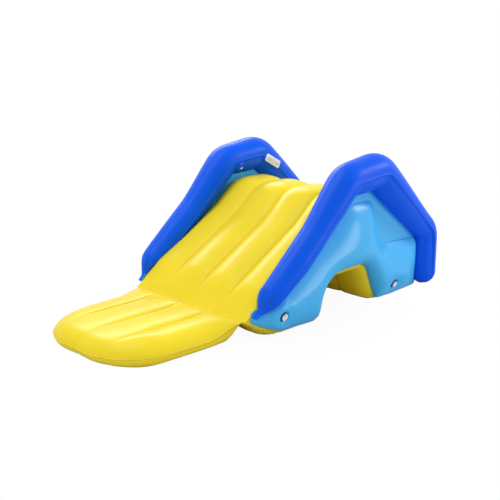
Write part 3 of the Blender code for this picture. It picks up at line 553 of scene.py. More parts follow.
@dataclass(frozen=True)
class Vinyl:
    """Soft vinyl sheet: a sheen, faint grain and clouding, welds, and ripples where it is slack.

    Attributes:
        name: The material's name.
        colour: Its colour.
        weld_colour: Its colour along a weld, where two sheets are pressed together.
        roughness: Its middle roughness.
        clouding: How far the colour varies over a hand's breadth.
        grain: Height of the sheet's grain.
        wave: Height of the slow unevenness of an inflated sheet.
        ripple: Height of the ripples where the sheet is gathered.
        ripple_length: Their length.
        coat: Weight of a gloss coat over it.
        shine: Level of the sheet's own reflection.
    """

    name: str
    colour: Colour
    weld_colour: Colour
    roughness: float = 0.34
    clouding: float = 0.06
    grain: float = 0.00003
    wave: float = 0.0006
    ripple: float = 0.0006
    ripple_length: float = 0.023
    coat: float = 0.12
    shine: float = 0.22

    def material(self) -> bpy.types.Material:
        """Makes the material."""
        made = bpy.data.materials.new(self.name)
        made.use_nodes = True
        bench = Bench(made.node_tree)
        place = bench.node("ShaderNodeTexCoord").outputs["Object"]
        cloud = bench.number("ShaderNodeTexNoise", {}, {"Vector": place, "Scale": 4.2, "Detail": 3.0})
        grain = bench.number("ShaderNodeTexNoise", {}, {"Vector": place, "Scale": 620.0, "Detail": 2.0})
        wave = bench.number("ShaderNodeTexNoise", {}, {"Vector": place, "Scale": 17.0, "Detail": 1.5})
        jitter = bench.number("ShaderNodeTexNoise", {}, {"Vector": place, "Scale": 23.0, "Detail": 1.0})
        weld = bench.number("ShaderNodeAttribute", {"attribute_name": "weld"}, {}, "Fac")
        along = bench.number("ShaderNodeAttribute", {"attribute_name": "along"}, {}, "Fac")
        slack = bench.number("ShaderNodeAttribute", {"attribute_name": "slack"}, {}, "Fac")
        spread = (cloud * 2.2 - 0.6).kept()
        body = bench.mixed(spread, shaded(self.colour, 1 - self.clouding), shaded(self.colour, 1.0))
        colour = bench.mixed((weld * 0.85).kept(), body, self.weld_colour)
        rough = (cloud * 0.12 + grain * 0.06 + weld * 0.1 + (self.roughness - 0.09)).kept()
        turns = along * (2 * math.pi / self.ripple_length) + jitter * 7.0
        folds = turns.sine() * slack * (self.ripple / 2)
        height = folds + grain * self.grain + wave * self.wave
        normal = bench.node("ShaderNodeBump", {}, {"Strength": 1.0, "Distance": 1.0, "Height": height})
        shader = bench.node(
            "ShaderNodeBsdfPrincipled",
            {},
            {
                "Base Color": colour,
                "Roughness": rough,
                "Normal": normal.outputs[0],
                "Coat Weight": self.coat,
                "Coat Roughness": 0.14,
                "Specular IOR Level": self.shine,
            },
        )
        bench.node("ShaderNodeOutputMaterial", {}, {"Surface": shader.outputs[0]})
        return made


@dataclass(frozen=True)
class Moulding:
    """Moulded soft plastic: fine spark grain, a little dust in it, and polish where it is handled.

    Attributes:
        name: The material's name.
        colour: Its colour.
        worn_colour: Its colour where it is dusty.
        roughness: Its middle roughness.
        grain: Height of its grain.
        coat: Weight of its gloss coat.
    """

    name: str
    colour: Colour
    worn_colour: Colour
    roughness: float = 0.4
    grain: float = 0.00004
    coat: float = 0.15

    def material(self) -> bpy.types.Material:
        """Makes the material."""
        made = bpy.data.materials.new(self.name)
        made.use_nodes = True
        bench = Bench(made.node_tree)
        place = bench.node("ShaderNodeTexCoord").outputs["Object"]
        cloud = bench.number("ShaderNodeTexNoise", {}, {"Vector": place, "Scale": 55.0, "Detail": 3.0})
        grain = bench.number("ShaderNodeTexNoise", {}, {"Vector": place, "Scale": 1400.0, "Detail": 2.0})
        spread = (cloud * 2.4 - 0.9).kept()
        colour = bench.mixed(spread, self.colour, self.worn_colour)
        rough = (cloud * 0.14 + grain * 0.08 + (self.roughness - 0.11)).kept()
        normal = bench.node(
            "ShaderNodeBump", {}, {"Strength": 1.0, "Distance": 1.0, "Height": grain * self.grain}
        )
        shader = bench.node(
            "ShaderNodeBsdfPrincipled",
            {},
            {
                "Base Color": colour,
                "Roughness": rough,
                "Normal": normal.outputs[0],
                "Coat Weight": self.coat,
                "Coat Roughness": 0.2,
                "IOR": 1.5,
            },
        )
        bench.node("ShaderNodeOutputMaterial", {}, {"Surface": shader.outputs[0]})
        return made


@dataclass
class Finishes:
    """The finishes of the slide, each made once."""

    yellow: bpy.types.Material = field(
        default_factory=Vinyl(
            "yellow_sheet", (0.97, 0.76, 0.03), (0.98, 0.79, 0.06), roughness=0.27, coat=0.0, shine=0.09
        ).material
    )
    light_blue: bpy.types.Material = field(
        default_factory=Vinyl(
            "light_blue_sheet", (0.07, 0.5, 0.92), (0.055, 0.42, 0.85), roughness=0.3, coat=0.1, shine=0.2
        ).material
    )
    royal_blue: bpy.types.Material = field(
        default_factory=Vinyl(
            "royal_blue_sheet",
            (0.001, 0.11, 0.88),
            (0.002, 0.13, 0.9),
            roughness=0.38,
            wave=0.0007,
            ripple=0.0001,
            coat=0.0,
            shine=0.13,
        ).material
    )
    white: bpy.types.Material = field(
        default_factory=Moulding("white_moulding", (0.93, 0.93, 0.95), (0.84, 0.84, 0.87)).material
    )
    # Grey of the hand straps: painted shade, standing for the shade in the gap between each strap and its
    # white plate.
    painted_shade_grey: bpy.types.Material = field(
        default_factory=Moulding("painted_shade_grey_moulding", (0.7, 0.7, 0.78), (0.6, 0.6, 0.67), roughness=0.48).material
    )
    # Dark navy of the valve seats: painted shade, standing for the shadowed recess round each cap.
    navy_painted_shade: bpy.types.Material = field(
        default_factory=Moulding("navy_painted_shade_moulding", (0.01, 0.03, 0.2), (0.02, 0.045, 0.22)).material
    )


# The bolster's tube, which the other chambers are pressed against


class Tube:
    """The tube of a bolster in the side plane: its axis, and how thick and wide it is along it.

    Attributes:
        radii: Radii from the nose to the foot.
        bend_radii: Radii of the axis at its four bends.
        tip_halves: Half thickness and half width at the tab's tip.
        root_halves: The same where the tab starts.
        taper: How far past the nose the tube is drawn in.
        tab_half_thickness: Half thickness that the drawn-in side starts from.
        tab_half_width: Half width that it starts from.
        drawn_angle: Turn from the tube's outer side down to the side that is drawn in most.
        drawn_focus: How closely that keeps to this side.
        drawn_curve: How round the drawn-in side is.
        core: Share of the tube's radius within which a point is too deep to press out.
        ceiling: Height past which no tube is looked for.
        no_tube: Height that stands for no tube found.
        touch: Distance that counts as touching.
        least_step: Least step of the search.
    """

    tail_tip: tuple[float, float] = (-0.4326, 0.136)
    tail_root: tuple[float, float] = (-0.3963, 0.16)
    nose: tuple[float, float] = (-0.3055, 0.236)
    slope_mid: tuple[float, float] = (0.0203, 0.523)
    top_front: tuple[float, float] = (0.3068, 0.813)
    top_rear: tuple[float, float] = (0.5943, 0.843)
    shoulder: tuple[float, float] = (1.157, 0.375)
    leg_end: tuple[float, float] = (1.157, 0.091)
    radii: tuple[float, ...] = (0.086, 0.086, 0.106, 0.115, 0.088, 0.088)
    bend_radii: tuple[float, ...] = (0.8, 0.13, 0.13, 0.11)
    tip_halves: tuple[float, float] = (0.003, 0.016)
    root_halves: tuple[float, float] = (0.01, 0.02)
    taper: float = 0.24
    tab_half_thickness: float = 0.004
    tab_half_width: float = 0.017
    drawn_angle: float = 1.35
    drawn_focus: float = 1.5
    drawn_curve: float = 1.25
    core: float = 0.05
    ceiling: float = 1.0
    no_tube: float = 9.0
    touch: float = 0.0005
    least_step: float = 0.0004

    def __init__(self) -> None:
        """Lays the axis and its sizes."""
        slope_bend, front_bend, rear_bend, shoulder_bend = self.bend_radii
        self.path = Outline(
            [
                Corner(*self.tail_tip),
                Corner(*self.tail_root),
                Corner(*self.nose),
                Corner(*self.slope_mid, slope_bend),
                Corner(*self.top_front, front_bend),
                Corner(*self.top_rear, rear_bend),
                Corner(*self.shoulder, shoulder_bend),
                Corner(*self.leg_end),
            ],
            closed=False,
        )
        near = self.path.length_near
        nose, mid, front, rear, shoulder, leg = self.radii
        self.anchors = [
            (0.0, *self.tip_halves),
            (near(*self.tail_root), *self.root_halves),
            (near(*self.nose), nose, nose),
            (near(*self.slope_mid), mid, mid),
            (near(*self.top_front), front, front),
            (near(*self.top_rear), rear, rear),
            (near(*self.shoulder), shoulder, shoulder),
            (self.path.total, leg, leg),
        ]
        self.line = self.path.dense(0.006)
        self.line_lengths = np.linspace(0.0, self.path.total, len(self.line))
        self.line_sizes = np.array([self.sizes(length) for length in self.line_lengths])

    def sizes(self, length: float) -> tuple[float, float]:
        """Half thickness and half width at a length along the axis."""
        for number, (start, end) in enumerate(zip(self.anchors, self.anchors[1:])):
            if length > end[0]:
                continue
            share = held((length - start[0]) / (end[0] - start[0]))
            way = math.sin(share * math.pi / 2) if number == 1 else eased(share)
            return start[1] + (end[1] - start[1]) * way, start[2] + (end[2] - start[2]) * way
        return self.anchors[-1][1:]

    def nose_sizes(self, length: float, angle: float, thickness: float, width: float) -> tuple[float, float]:
        """Draws the nose in on its outer, lower side, so that it runs straight into a broad weld tab.

        Args:
            length: Length along the axis.
            angle: Angle round the tube, from its outer side upwards.
            thickness: The tube's plain half thickness there.
            width: Its plain half width.

        Returns:
            The half thickness and half width at that angle.
        """
        from_tip = length / (self.anchors[2][0] + self.taper)
        if from_tip >= 1.0:
            return thickness, width
        lower = (0.5 + 0.5 * math.cos(angle + self.drawn_angle)) ** self.drawn_focus
        full = self.radii[0]
        way = 1 - (1 - from_tip) ** self.drawn_curve
        straight = self.tab_half_thickness + (full - self.tab_half_thickness) * way
        flat = self.tab_half_width + (full - self.tab_half_width) * way
        thick = thickness + (min(straight, thickness) - thickness) * lower
        wide = max(width, self.tab_half_width)
        return thick, wide + (min(flat, wide) - wide) * lower

    def clear_of(self, point: Vector, room: float) -> Vector:
        """Presses a point out of the tube.

        Args:
            point: A point of another chamber.
            room: How far outside the tube it stays.

        Returns:
            The point, or its place beside the tube if it was in it.
        """
        offsets = np.array((point.y, point.z)) - self.line
        nearest = int(np.argmin((offsets**2).sum(1)))
        off_y, off_z = offsets[nearest]
        axis_x = math.copysign(SIZES.bolster_x, point.x)
        off_x = point.x - axis_x
        angle = math.atan2(off_z, abs(point.x) - SIZES.bolster_x)
        thickness, width = self.nose_sizes(self.line_lengths[nearest], angle, *self.line_sizes[nearest])
        thickness, width = thickness + room, width + room
        upright = math.hypot(off_y, off_z)
        depth = math.hypot(off_x / width, upright / thickness)
        if depth >= 1.0 or depth < self.core:
            return point
        axis_y, axis_z = self.line[nearest]
        return Vector((axis_x + off_x / depth, axis_y + off_y / depth, axis_z + off_z / depth))

    def underside(self, y: float, z_from: float, across: float) -> float:
        """Height of the tube's underside over a place beside its axis.

        Args:
            y: The place along the slide.
            z_from: The height to look up from.
            across: How far beside the axis the place is.

        Returns:
            The height at which the tube starts, or a great height if it doesn't.
        """
        height = z_from
        while height < self.ceiling:
            offsets = ((np.array((y, height)) - self.line) ** 2).sum(1)
            reach = np.sqrt(np.maximum(self.line_sizes[:, 0] ** 2 - across**2, 0.0))
            clearance = float((np.sqrt(offsets) - reach).min())
            if clearance < self.touch:
                return height
            height += max(clearance * 0.8, self.least_step)
        return self.no_tube


TUBE = Tube()
TUBE_ROOM = 0.0008


# Where the fittings sit


@dataclass(frozen=True)
class FittingPlace:
    """Where a fitting of the right side sits.

    Attributes:
        surface: The place on the chamber's surface.
        normal: The outward normal there.
        depth: How deep the fitting's underside lies.
    """

    surface: tuple[float, float, float]
    normal: tuple[float, float, float]
    depth: float

    def frame(self, side: Side, up: Sequence[float] = (0.0, 0.0, 1.0)) -> Matrix:
        """Frame of the fitting's underside on a side of the slide."""
        mirror = Vector((side.value, 1.0, 1.0))
        out = (Vector(self.normal) * mirror).normalized()
        return framed(Vector(self.surface) * mirror - out * self.depth, out, up)

    def seat_skin(self, skin: Skin, side: Side, sizes: "ValveSizes", cuts: int) -> None:
        """Lays a skin flat round a valve, and down over its flange.

        Args:
            skin: The chamber's skin.
            side: The side of the slide.
            sizes: The valve's sizes.
            cuts: Cuts of each edge near it.
        """
        frame_there = self.frame(side)
        surface = frame_there @ Matrix.Translation((0.0, 0.0, self.depth))
        skin.seat([Seat(surface, sizes.patch, sizes.patch, sizes.patch, 0.0, sizes.patch_blend)], cuts)
        dish = sizes.flange + sizes.rounding
        floor = sizes.flange_height / 2
        skin.seat([Seat(frame_there, dish, dish, dish, floor, sizes.neck_height, 3 * sizes.neck_height)], 1)


FRONT_VALVE = FittingPlace((0.56648, -0.25604, 0.115), (0.9763, 0.0, -0.2165), 0.008)
REAR_VALVE = FittingPlace((0.55902, 0.79402, 0.076), (0.9387, 0.0, -0.3446), 0.008)
SMALL_VALVE = FittingPlace((0.42773, 0.36607, 0.76891), (-0.89755, 0.053, -0.43774), 0.0025)
HANDLE = FittingPlace((0.41827, 0.65899, 0.78821), (-1.0, 0.0, 0.0), 0.0)


@dataclass(frozen=True)
class ValveSizes:
    """Sizes of a valve: a flanged seat with a neck, and its cap on a tether.

    Attributes:
        bore: Radius of the bore.
        neck: Radius of the neck.
        neck_height: Its height over the flange's underside.
        flange: Radius of the flange.
        flange_height: Its thickness.
        cap: Radius of the cap.
        cap_height: Its thickness.
        plug_depth: How deep its plug reaches into the bore.
        plug_taper: How far the plug narrows.
        rib_width: Width of the rib that it is turned by.
        rib_height: Height of that rib.
        tether: Width of the tether.
        rounding: Radius of the edges.
        patch: Radius of the flat patch of sheet round it.
        patch_blend: How far the sheet takes from there to its own shape.
    """

    bore: float
    neck: float
    neck_height: float
    flange: float
    flange_height: float
    cap: float
    cap_height: float
    plug_depth: float
    plug_taper: float
    rib_width: float
    rib_height: float
    tether: float
    rounding: float
    patch: float
    patch_blend: float


LARGE_SIZES = ValveSizes(
    bore=0.017,
    neck=0.0235,
    neck_height=0.009,
    flange=0.029,
    flange_height=0.003,
    cap=0.0205,
    cap_height=0.004,
    plug_depth=0.008,
    plug_taper=0.003,
    rib_width=0.006,
    rib_height=0.004,
    tether=0.01,
    rounding=0.0011,
    patch=0.032,
    patch_blend=0.08,
)
SMALL_SIZES = ValveSizes(
    bore=0.006,
    neck=0.0095,
    neck_height=0.004,
    flange=0.0125,
    flange_height=0.0015,
    cap=0.0085,
    cap_height=0.002,
    plug_depth=0.003,
    plug_taper=0.0012,
    rib_width=0.003,
    rib_height=0.0015,
    tether=0.005,
    rounding=0.0005,
    patch=0.015,
    patch_blend=0.026,
)


class Mould:
    """A mesh of a moulded fitting, made in its own frame and then put in its place."""

    def __init__(self) -> None:
        """Starts an empty mesh."""
        self.bm = bmesh.new()

    def turn(self, corners: Sequence[Corner], closed: bool, steps: int) -> None:
        """Spins a profile round the Z axis.

        Args:
            corners: Radii and heights of the profile's corners, with their arcs.
            closed: Whether it is a ring.
            steps: Steps of the full turn.
        """
        line = Outline(corners, closed=closed, step=0.0004)
        places = line.points[:-1] if closed else line.points
        verts = [self.bm.verts.new((place.x, 0.0, place.y)) for place in places]
        pairs = list(zip(verts, verts[1:])) + ([(verts[-1], verts[0])] if closed else [])
        edges = [self.bm.edges.new(pair) for pair in pairs]
        bmesh.ops.spin(
            self.bm,
            geom=verts + edges,
            axis=(0.0, 0.0, 1.0),
            cent=(0.0, 0.0, 0.0),
            angle=2 * math.pi,
            steps=steps,
            use_merge=True,
        )
        bmesh.ops.remove_doubles(self.bm, verts=self.bm.verts, dist=0.000005)

    def block(
        self, low: Sequence[float], high: Sequence[float], rounding: float, corner: float = 0.0
    ) -> None:
        """Adds a block with rounded edges.

        Args:
            low: Its lowest corner.
            high: Its highest corner.
            rounding: Radius of its edges.
            corner: Radius of its upright corners, if it is larger.
        """
        made = bmesh.ops.create_cube(self.bm, size=1.0)["verts"]
        for vert in made:
            vert.co = [a + (b - a) * (share + 0.5) for a, b, share in zip(low, high, vert.co)]
        edges = {edge for vert in made for edge in vert.link_edges}
        if corner:
            upright = [edge for edge in edges if abs(edge.verts[0].co.z - edge.verts[1].co.z) > 0.0001]
            self.bevel(upright, corner, 10)
            level = high[2] - 0.00001
            edges = {edge for edge in self.bm.edges if all(vert.co.z > level for vert in edge.verts)}
        self.bevel(list(edges), rounding, 3)

    def strap(self, corners: Sequence[Corner], half_width: float, rounding: float) -> None:
        """Adds a bowed strap.

        Args:
            corners: Its side view, as places along and over its plate.
            half_width: Half its width.
            rounding: Radius of its edges.
        """
        places = Outline(corners, closed=True, step=0.0012).points[:-1]
        side = self.bm.faces.new([self.bm.verts.new((place.x, -half_width, place.y)) for place in places])
        made = bmesh.ops.extrude_face_region(self.bm, geom=[side])["geom"]
        far = [item for item in made if isinstance(item, bmesh.types.BMVert)]
        bmesh.ops.translate(self.bm, verts=far, vec=(0.0, 2 * half_width, 0.0))
        ends = [face for face in self.bm.faces if len(face.verts) > 4]
        self.bevel(list({edge for face in ends for edge in face.edges}), rounding, 2)

    def bevel(self, edges: list[bmesh.types.BMEdge], radius: float, segments: int) -> None:
        """Rounds some edges."""
        bmesh.ops.bevel(
            self.bm,
            geom=edges,
            offset=radius,
            offset_type="OFFSET",
            segments=segments,
            profile=0.5,
            affect="EDGES",
            material=-1,
        )

    def piece(self, name: str, material: bpy.types.Material, place: Matrix) -> bpy.types.Object:
        """Makes the object in its place.

        Args:
            name: The piece's name.
            material: Its finish.
            place: The frame that it was made in.

        Returns:
            The object, at the origin.
        """
        bmesh.ops.recalc_face_normals(self.bm, faces=self.bm.faces)
        self.bm.transform(place)
        for face in self.bm.faces:
            face.smooth = True
        for edge in self.bm.edges:
            edge.smooth = edge.calc_face_angle(0.0) < 0.6
        mesh = bpy.data.meshes.new(name)
        self.bm.to_mesh(mesh)
        self.bm.free()
        mesh.materials.append(material)
        item = bpy.data.objects.new(name, mesh)
        bpy.context.scene.collection.objects.link(item)
        return item


# Sub-assemblies


@dataclass
class YellowBand:
    """The yellow band of bed, platform, step, feet and arch, in four channels.

    Attributes:
        edge_swell: How far it stands out past its side seams.
        edge_reach: How far from a seam it takes to stand out.
        channel_swell: How far a channel's crown stands over its creases.
        joint_reach: How far from the joint it takes to fill.
        crease_start: How far from the joint the creases start.
        crease_reach: How far they take to deepen.
        steps: Faces across each channel.
        joint_gather: Height of the gathers along the joint.
        joint_turn: How fast they follow each other across the slide.
        crease_gather: Depth of the gathers where the creases start.
        crease_turn: How fast they follow each other.
    """

    edge_swell: float = 0.027
    edge_reach: float = 0.1
    channel_swell: float = 0.027
    joint_reach: float = 0.15
    crease_start: float = 0.05
    crease_reach: float = 0.16
    steps: int = 20
    joint_gather: float = 0.001
    joint_turn: float = 170.0
    crease_gather: float = 0.003
    crease_turn: float = 210.0

    def build(self, finish: bpy.types.Material) -> bpy.types.Object:
        """Builds the band.

        Args:
            finish: Its vinyl.

        Returns:
            The piece.
        """
        line = Outline(side_corners(SIZES), closed=True)
        marks = graded(line.total, 0.0012, 0.0115)
        marks[-1] = line.total
        columns = across_channels(SIZES.half_width, SIZES.channels, self.steps)
        places = [line.at(mark) for mark in marks]
        skin = Skin()
        skin.grid(
            len(columns) - 1,
            len(marks) - 1,
            lambda column, row: self.spot(columns[column], marks[row], *places[row]),
        )
        skin.close()
        band = skin.piece("yellow_band", finish)
        settle(band, "slide", "yellow_vinyl", "body_chamber")
        return band

    def spot(self, x: float, along: float, seam: Vector, direction: Vector) -> Spot:
        """Swells a place of the seam line outwards.

        Args:
            x: Place across the slide.
            along: Length along the seam line.
            seam: The line's point in the side plane.
            direction: The line's direction there.

        Returns:
            The vertex.
        """
        half = SIZES.half_width
        from_joint = seam.x - SIZES.joint_y
        from_side = half - abs(x)
        crease = crease_distance(x, half, SIZES.channels)
        toward_joint = held(from_joint / self.joint_reach)
        edge = round_rise(from_side / self.edge_reach) * toward_joint * (2 - toward_joint)
        fade = eased((from_joint - self.crease_start) / self.crease_reach)
        crown = channel_crown(x, half, SIZES.channels)
        out = self.edge_swell * edge + self.channel_swell * crown * edge * fade
        start_of_crease = bump(from_joint - self.crease_start - 0.03, 0.07) * bump(crease, 0.05)
        at_joint = bump(from_joint, 0.05)
        at_side = bump(from_side, 0.03)
        out += self.joint_gather * at_joint * math.sin(x * self.joint_turn) * eased(from_joint / 0.03)
        out -= self.crease_gather * start_of_crease * (0.5 + 0.5 * math.cos(crease * self.crease_turn))
        place = Vector((x, seam.x - direction.y * out, max(seam.y + direction.x * out, 0.0)))
        place = TUBE.clear_of(place, TUBE_ROOM)
        weld = max(0.5 * bump(crease, 0.003) * fade, bump(from_side, 0.003), bump(from_joint, 0.004))
        slack = max(0.8 * at_side, 0.35 * bump(crease, 0.022) * fade)
        return Spot(place, weld, along, slack)


@dataclass
class LandingPad:
    """The landing pad: a mattress of four channels between two sheets welded round the edge.

    Attributes:
        length: Its length at the middle.
        thickness: Its full thickness.
        seam_height: Height of the seam round its edge.
        half_width: Half its width at the joint.
        corner_radius: Radius of its front corners.
        narrowing: How far each side comes in towards the front.
        scallop: How far the front edge dips at each crease.
        rim: How far from the seam the rim takes to rise.
        rim_share: Share of the thickness that the rim reaches.
        pillow_reach: How far from the seam the full thickness is.
        joint_rounding: How far from the joint it takes to fill.
        crease_depth: Depth of the creases.
        crease_margin: Distance from the joint and the front at which they start.
        crease_fade: How far they take to deepen at the joint.
        crease_front_fade: How far they take at the front.
        seam_blend: How far the seam takes to come down from the joint.
        press: How far the underside is pressed flat.
        fin: Width of the welded fin.
        fin_half: Half its thickness.
        steps: Faces across each channel.
        rows: Faces along the pad.
        joint_gather: Height of the gathers along the joint.
        joint_turn: How fast they follow each other across the pad.
        fin_inner: Share of the fin at which its inner row lies.
    """

    length: float = 0.77
    thickness: float = 0.142
    seam_height: float = 0.058
    half_width: float = 0.4565
    corner_radius: float = 0.34
    narrowing: float = 0.031
    scallop: float = 0.009
    rim: float = 0.1
    rim_share: float = 0.5
    pillow_reach: float = 0.24
    joint_rounding: float = 0.09
    crease_depth: float = 0.021
    crease_margin: float = 0.035
    crease_fade: float = 0.12
    crease_front_fade: float = 0.3
    seam_blend: float = 0.24
    press: float = 0.004
    fin: float = 0.0025
    fin_half: float = 0.0007
    steps: int = 20
    rows: int = 64
    joint_gather: float = 0.001
    joint_turn: float = 150.0
    fin_inner: float = 0.45

    def length_at(self, x: float) -> float:
        """Length of the pad at a place across it."""
        into = min(max(abs(x) - (self.half_width - self.corner_radius), 0.0), self.corner_radius)
        corner = self.corner_radius - math.sqrt(self.corner_radius**2 - into**2)
        straight = 1 - eased(into / self.corner_radius)
        crown = channel_crown(x, self.half_width, SIZES.channels)
        return self.length - corner - self.scallop * (1 - crown) * straight

    def pillow(self, distance: float, upper: bool) -> float:
        """Share of the full thickness at a distance from the seam, more slowly on the free upper sheet."""
        steep = round_rise(distance / self.rim)
        if not upper:
            return steep
        share = held(distance / self.pillow_reach)
        return self.rim_share * steep + (1 - self.rim_share) * share * (2 - share)

    def spot(self, x: float, share: float, upper: bool) -> Spot:
        """Finds a vertex of the pad.

        Args:
            x: Place across the pad, before it narrows.
            share: Share of its length from the joint.
            upper: Whether it is on the upper sheet.

        Returns:
            The vertex.
        """
        length = self.length_at(x)
        from_joint = share * length
        from_front = length - from_joint
        from_side = self.half_width - abs(x)
        rise = SIZES.joint_height - self.seam_height
        seam = self.seam_height + rise * (1 - eased(from_joint / self.seam_blend))
        rim = self.pillow(from_side - self.fin, upper) * self.pillow(from_front - self.fin, upper)
        toward_joint = min(from_joint / self.joint_rounding, 1.0)
        body = rim * toward_joint * (2 - toward_joint)
        crown = channel_crown(x, self.half_width, SIZES.channels)
        crease_at = crease_distance(x, self.half_width, SIZES.channels)
        fade = eased((from_joint - self.crease_margin) / self.crease_fade)
        fade *= eased((from_front - self.crease_margin) / self.crease_front_fade)
        crease = self.crease_depth * (1 - crown) * fade
        edge = min(from_side, from_front)
        on_edge = edge < 0.00001
        lip = 0.0 if on_edge else self.fin_half
        at_joint = bump(from_joint, 0.04) * round_rise(from_joint / 0.03)
        gather = self.joint_gather * at_joint * math.sin(x * self.joint_turn)
        if upper:
            z = seam + lip + (self.thickness - seam - lip - crease) * body + gather
        else:
            z = max(seam - lip - (seam + self.press - crease) * body, 0.0)
        if share == 0.0:
            z = seam + SIZES.weld_lip * (1 if upper else -1)
        y = SIZES.joint_y - SIZES.gap - share * (length - SIZES.gap)
        place = Vector((x * (1 - share * self.narrowing / self.half_width), y, z))
        weld = max(0.5 * bump(crease_at, 0.003) * fade, bump(edge, 0.003), bump(from_joint, 0.004))
        along = from_joint if from_side < from_front else x
        slack = max(0.9 * bump(edge - 0.006, 0.02), 0.35 * bump(crease_at, 0.02) * fade)
        return Spot(place, weld, along, slack)

    def build(self, finish: bpy.types.Material) -> bpy.types.Object:
        """Builds the pad.

        Args:
            finish: Its vinyl.

        Returns:
            The piece.
        """
        fins = [-self.half_width + self.fin * share for share in (self.fin_inner, 1.0)]
        columns = across_channels(self.half_width, SIZES.channels, self.steps)
        columns = sorted(columns + fins + [-place for place in fins])
        marks = [(1 - math.cos(math.pi * row / self.rows)) / 2 for row in range(self.rows + 1)]
        fin_share = self.fin / self.length
        marks = sorted(marks + [1 - fin_share, 1 - fin_share * self.fin_inner])
        skin = Skin()
        for upper in (True, False):
            skin.grid(
                len(columns) - 1,
                len(marks) - 1,
                lambda column, row, upper=upper: self.spot(columns[column], marks[row], upper),
            )
        skin.close()
        pad = skin.piece("pad_mattress", finish)
        settle(pad, "pad", "yellow_vinyl", "landing_pad")
        return pad


@dataclass
class Bolster:
    """A guard bolster: a bent tube with a side seam, gathered at its nose into a flat weld tab.

    Attributes:
        side: The side of the slide.
        seam_ridge: Height of the seam's ridge.
        seam_width: Half width of that ridge.
        columns: Faces round the tube.
        crowding: How closely the faces keep to the seams, as an angle.
        pleat: Depth of the pleats at the bends.
        pleat_length: Their length along the tube.
        foot_rings: Rings of faces round the foot.
        fold_depth: Depth of the fold under the seams.
        bend_fold: How much deeper it is at the bends.
        gather: Depth of the gathers at the nose.
        gather_folds: Number of gathers round the nose.
    """

    side: Side
    seam_ridge: float = 0.0045
    seam_width: float = 0.0034
    columns: int = 64
    crowding: float = 0.42
    pleat: float = 0.0026
    pleat_length: float = 0.034
    foot_rings: int = 12
    fold_depth: float = 0.005
    bend_fold: float = 0.008
    gather: float = 0.0035
    gather_folds: int = 9

    def build(self, finish: bpy.types.Material) -> bpy.types.Object:
        """Builds the bolster.

        Args:
            finish: Its vinyl.

        Returns:
            The piece.
        """
        marks = graded(TUBE.path.total, 0.006, 0.012)
        marks = [mark for mark in marks if mark < TUBE.path.total - 0.004] + [TUBE.path.total]
        rows = len(marks) - 1 + self.foot_rings
        skin = Skin()
        skin.grid(self.columns, rows, lambda column, row: self.spot(column, row, marks))
        skin.close()
        skin.seat([StrapHandle(self.side).seat()], 1)
        SMALL_VALVE.seat_skin(skin, self.side, SMALL_SIZES, 3)
        bolster = skin.piece("bolster_skin_" + self.side.title, finish)
        settle(bolster, "slide", "royal_blue_vinyl", "bolster_" + self.side.title)
        return bolster

    def spot(self, column: int, row: int, marks: Sequence[float]) -> Spot:
        """Finds a vertex of the tube.

        Args:
            column: Step round the tube.
            row: Step along it, the last few round its foot.
            marks: Lengths of the steps along the axis.

        Returns:
            The vertex.
        """
        turn = column % self.columns / self.columns
        angle = 2 * math.pi * turn - self.crowding * math.sin(4 * math.pi * turn)
        past = row - (len(marks) - 1)
        length = marks[min(row, len(marks) - 1)]
        point, direction = TUBE.path.at(length)
        thickness, width = TUBE.sizes(length)
        if past > 0:
            dome = math.pi / 2 * past / self.foot_rings
            point = point + Vector((0.0, -thickness * math.sin(dome)))
            thickness, width = thickness * math.cos(dome), width * math.cos(dome)
        arc = width * min(abs(math.remainder(angle, math.pi)), 1.0)
        ridge = self.seam_ridge * bump(arc, self.seam_width) * (1.0 if past <= 0 else max(1 - past / 6, 0.0))
        out = ridge + self.gathers(length, angle) + self.pleats(length, angle) - self.fold(length, angle)
        if past <= 0:
            thickness, width = TUBE.nose_sizes(length, angle, thickness, width)
        across = math.cos(angle) * (width + out)
        up = math.sin(angle) * (thickness + out)
        x = self.side.value * (SIZES.bolster_x + across)
        place = Vector((x, point.x - direction.y * up, point.y + direction.x * up))
        tab = held(1 - (length - TUBE.anchors[1][0]) / 0.03)
        weld = max(bump(arc, 0.0028), 0.8 * tab)
        slack = 0.4 * bump(arc - 0.004, 0.014)
        return Spot(place, weld, length, slack)

    def gathers(self, length: float, angle: float) -> float:
        """Folds that run back from the weld tab at the nose."""
        from_root = length - TUBE.anchors[1][0]
        strength = bump(from_root - 0.05, 0.055) * held(from_root / 0.02)
        return -self.gather * strength * (0.5 + 0.5 * math.cos(self.gather_folds * angle))

    def fold(self, length: float, angle: float) -> float:
        """How far the sheet under a side seam lies back, most of all at the bends."""
        below = -math.degrees(math.asin(math.sin(angle)))
        band = eased((below - 1.0) / 9.0) * (1 - eased((below - 50.0) / 30.0))
        bends = max(bump(length - TUBE.anchors[number][0], 0.16) for number in (4, 5, 6))
        along = eased((length - TUBE.anchors[2][0]) / 0.2)
        return (self.fold_depth + self.bend_fold * bends) * band * along

    def pleats(self, length: float, angle: float) -> float:
        """Pleats on the inner side of each bend, which is the tube's underside."""
        inner = held(-math.sin(angle) * 1.3 - 0.25)
        found = 0.0
        for number, reach in ((4, 0.075), (5, 0.07), (6, 0.06)):
            offset = length - TUBE.anchors[number][0]
            wave = 0.5 - 0.5 * math.cos(2 * math.pi * offset / self.pleat_length)
            found -= self.pleat * wave * bump(offset, reach) * inner
        return found


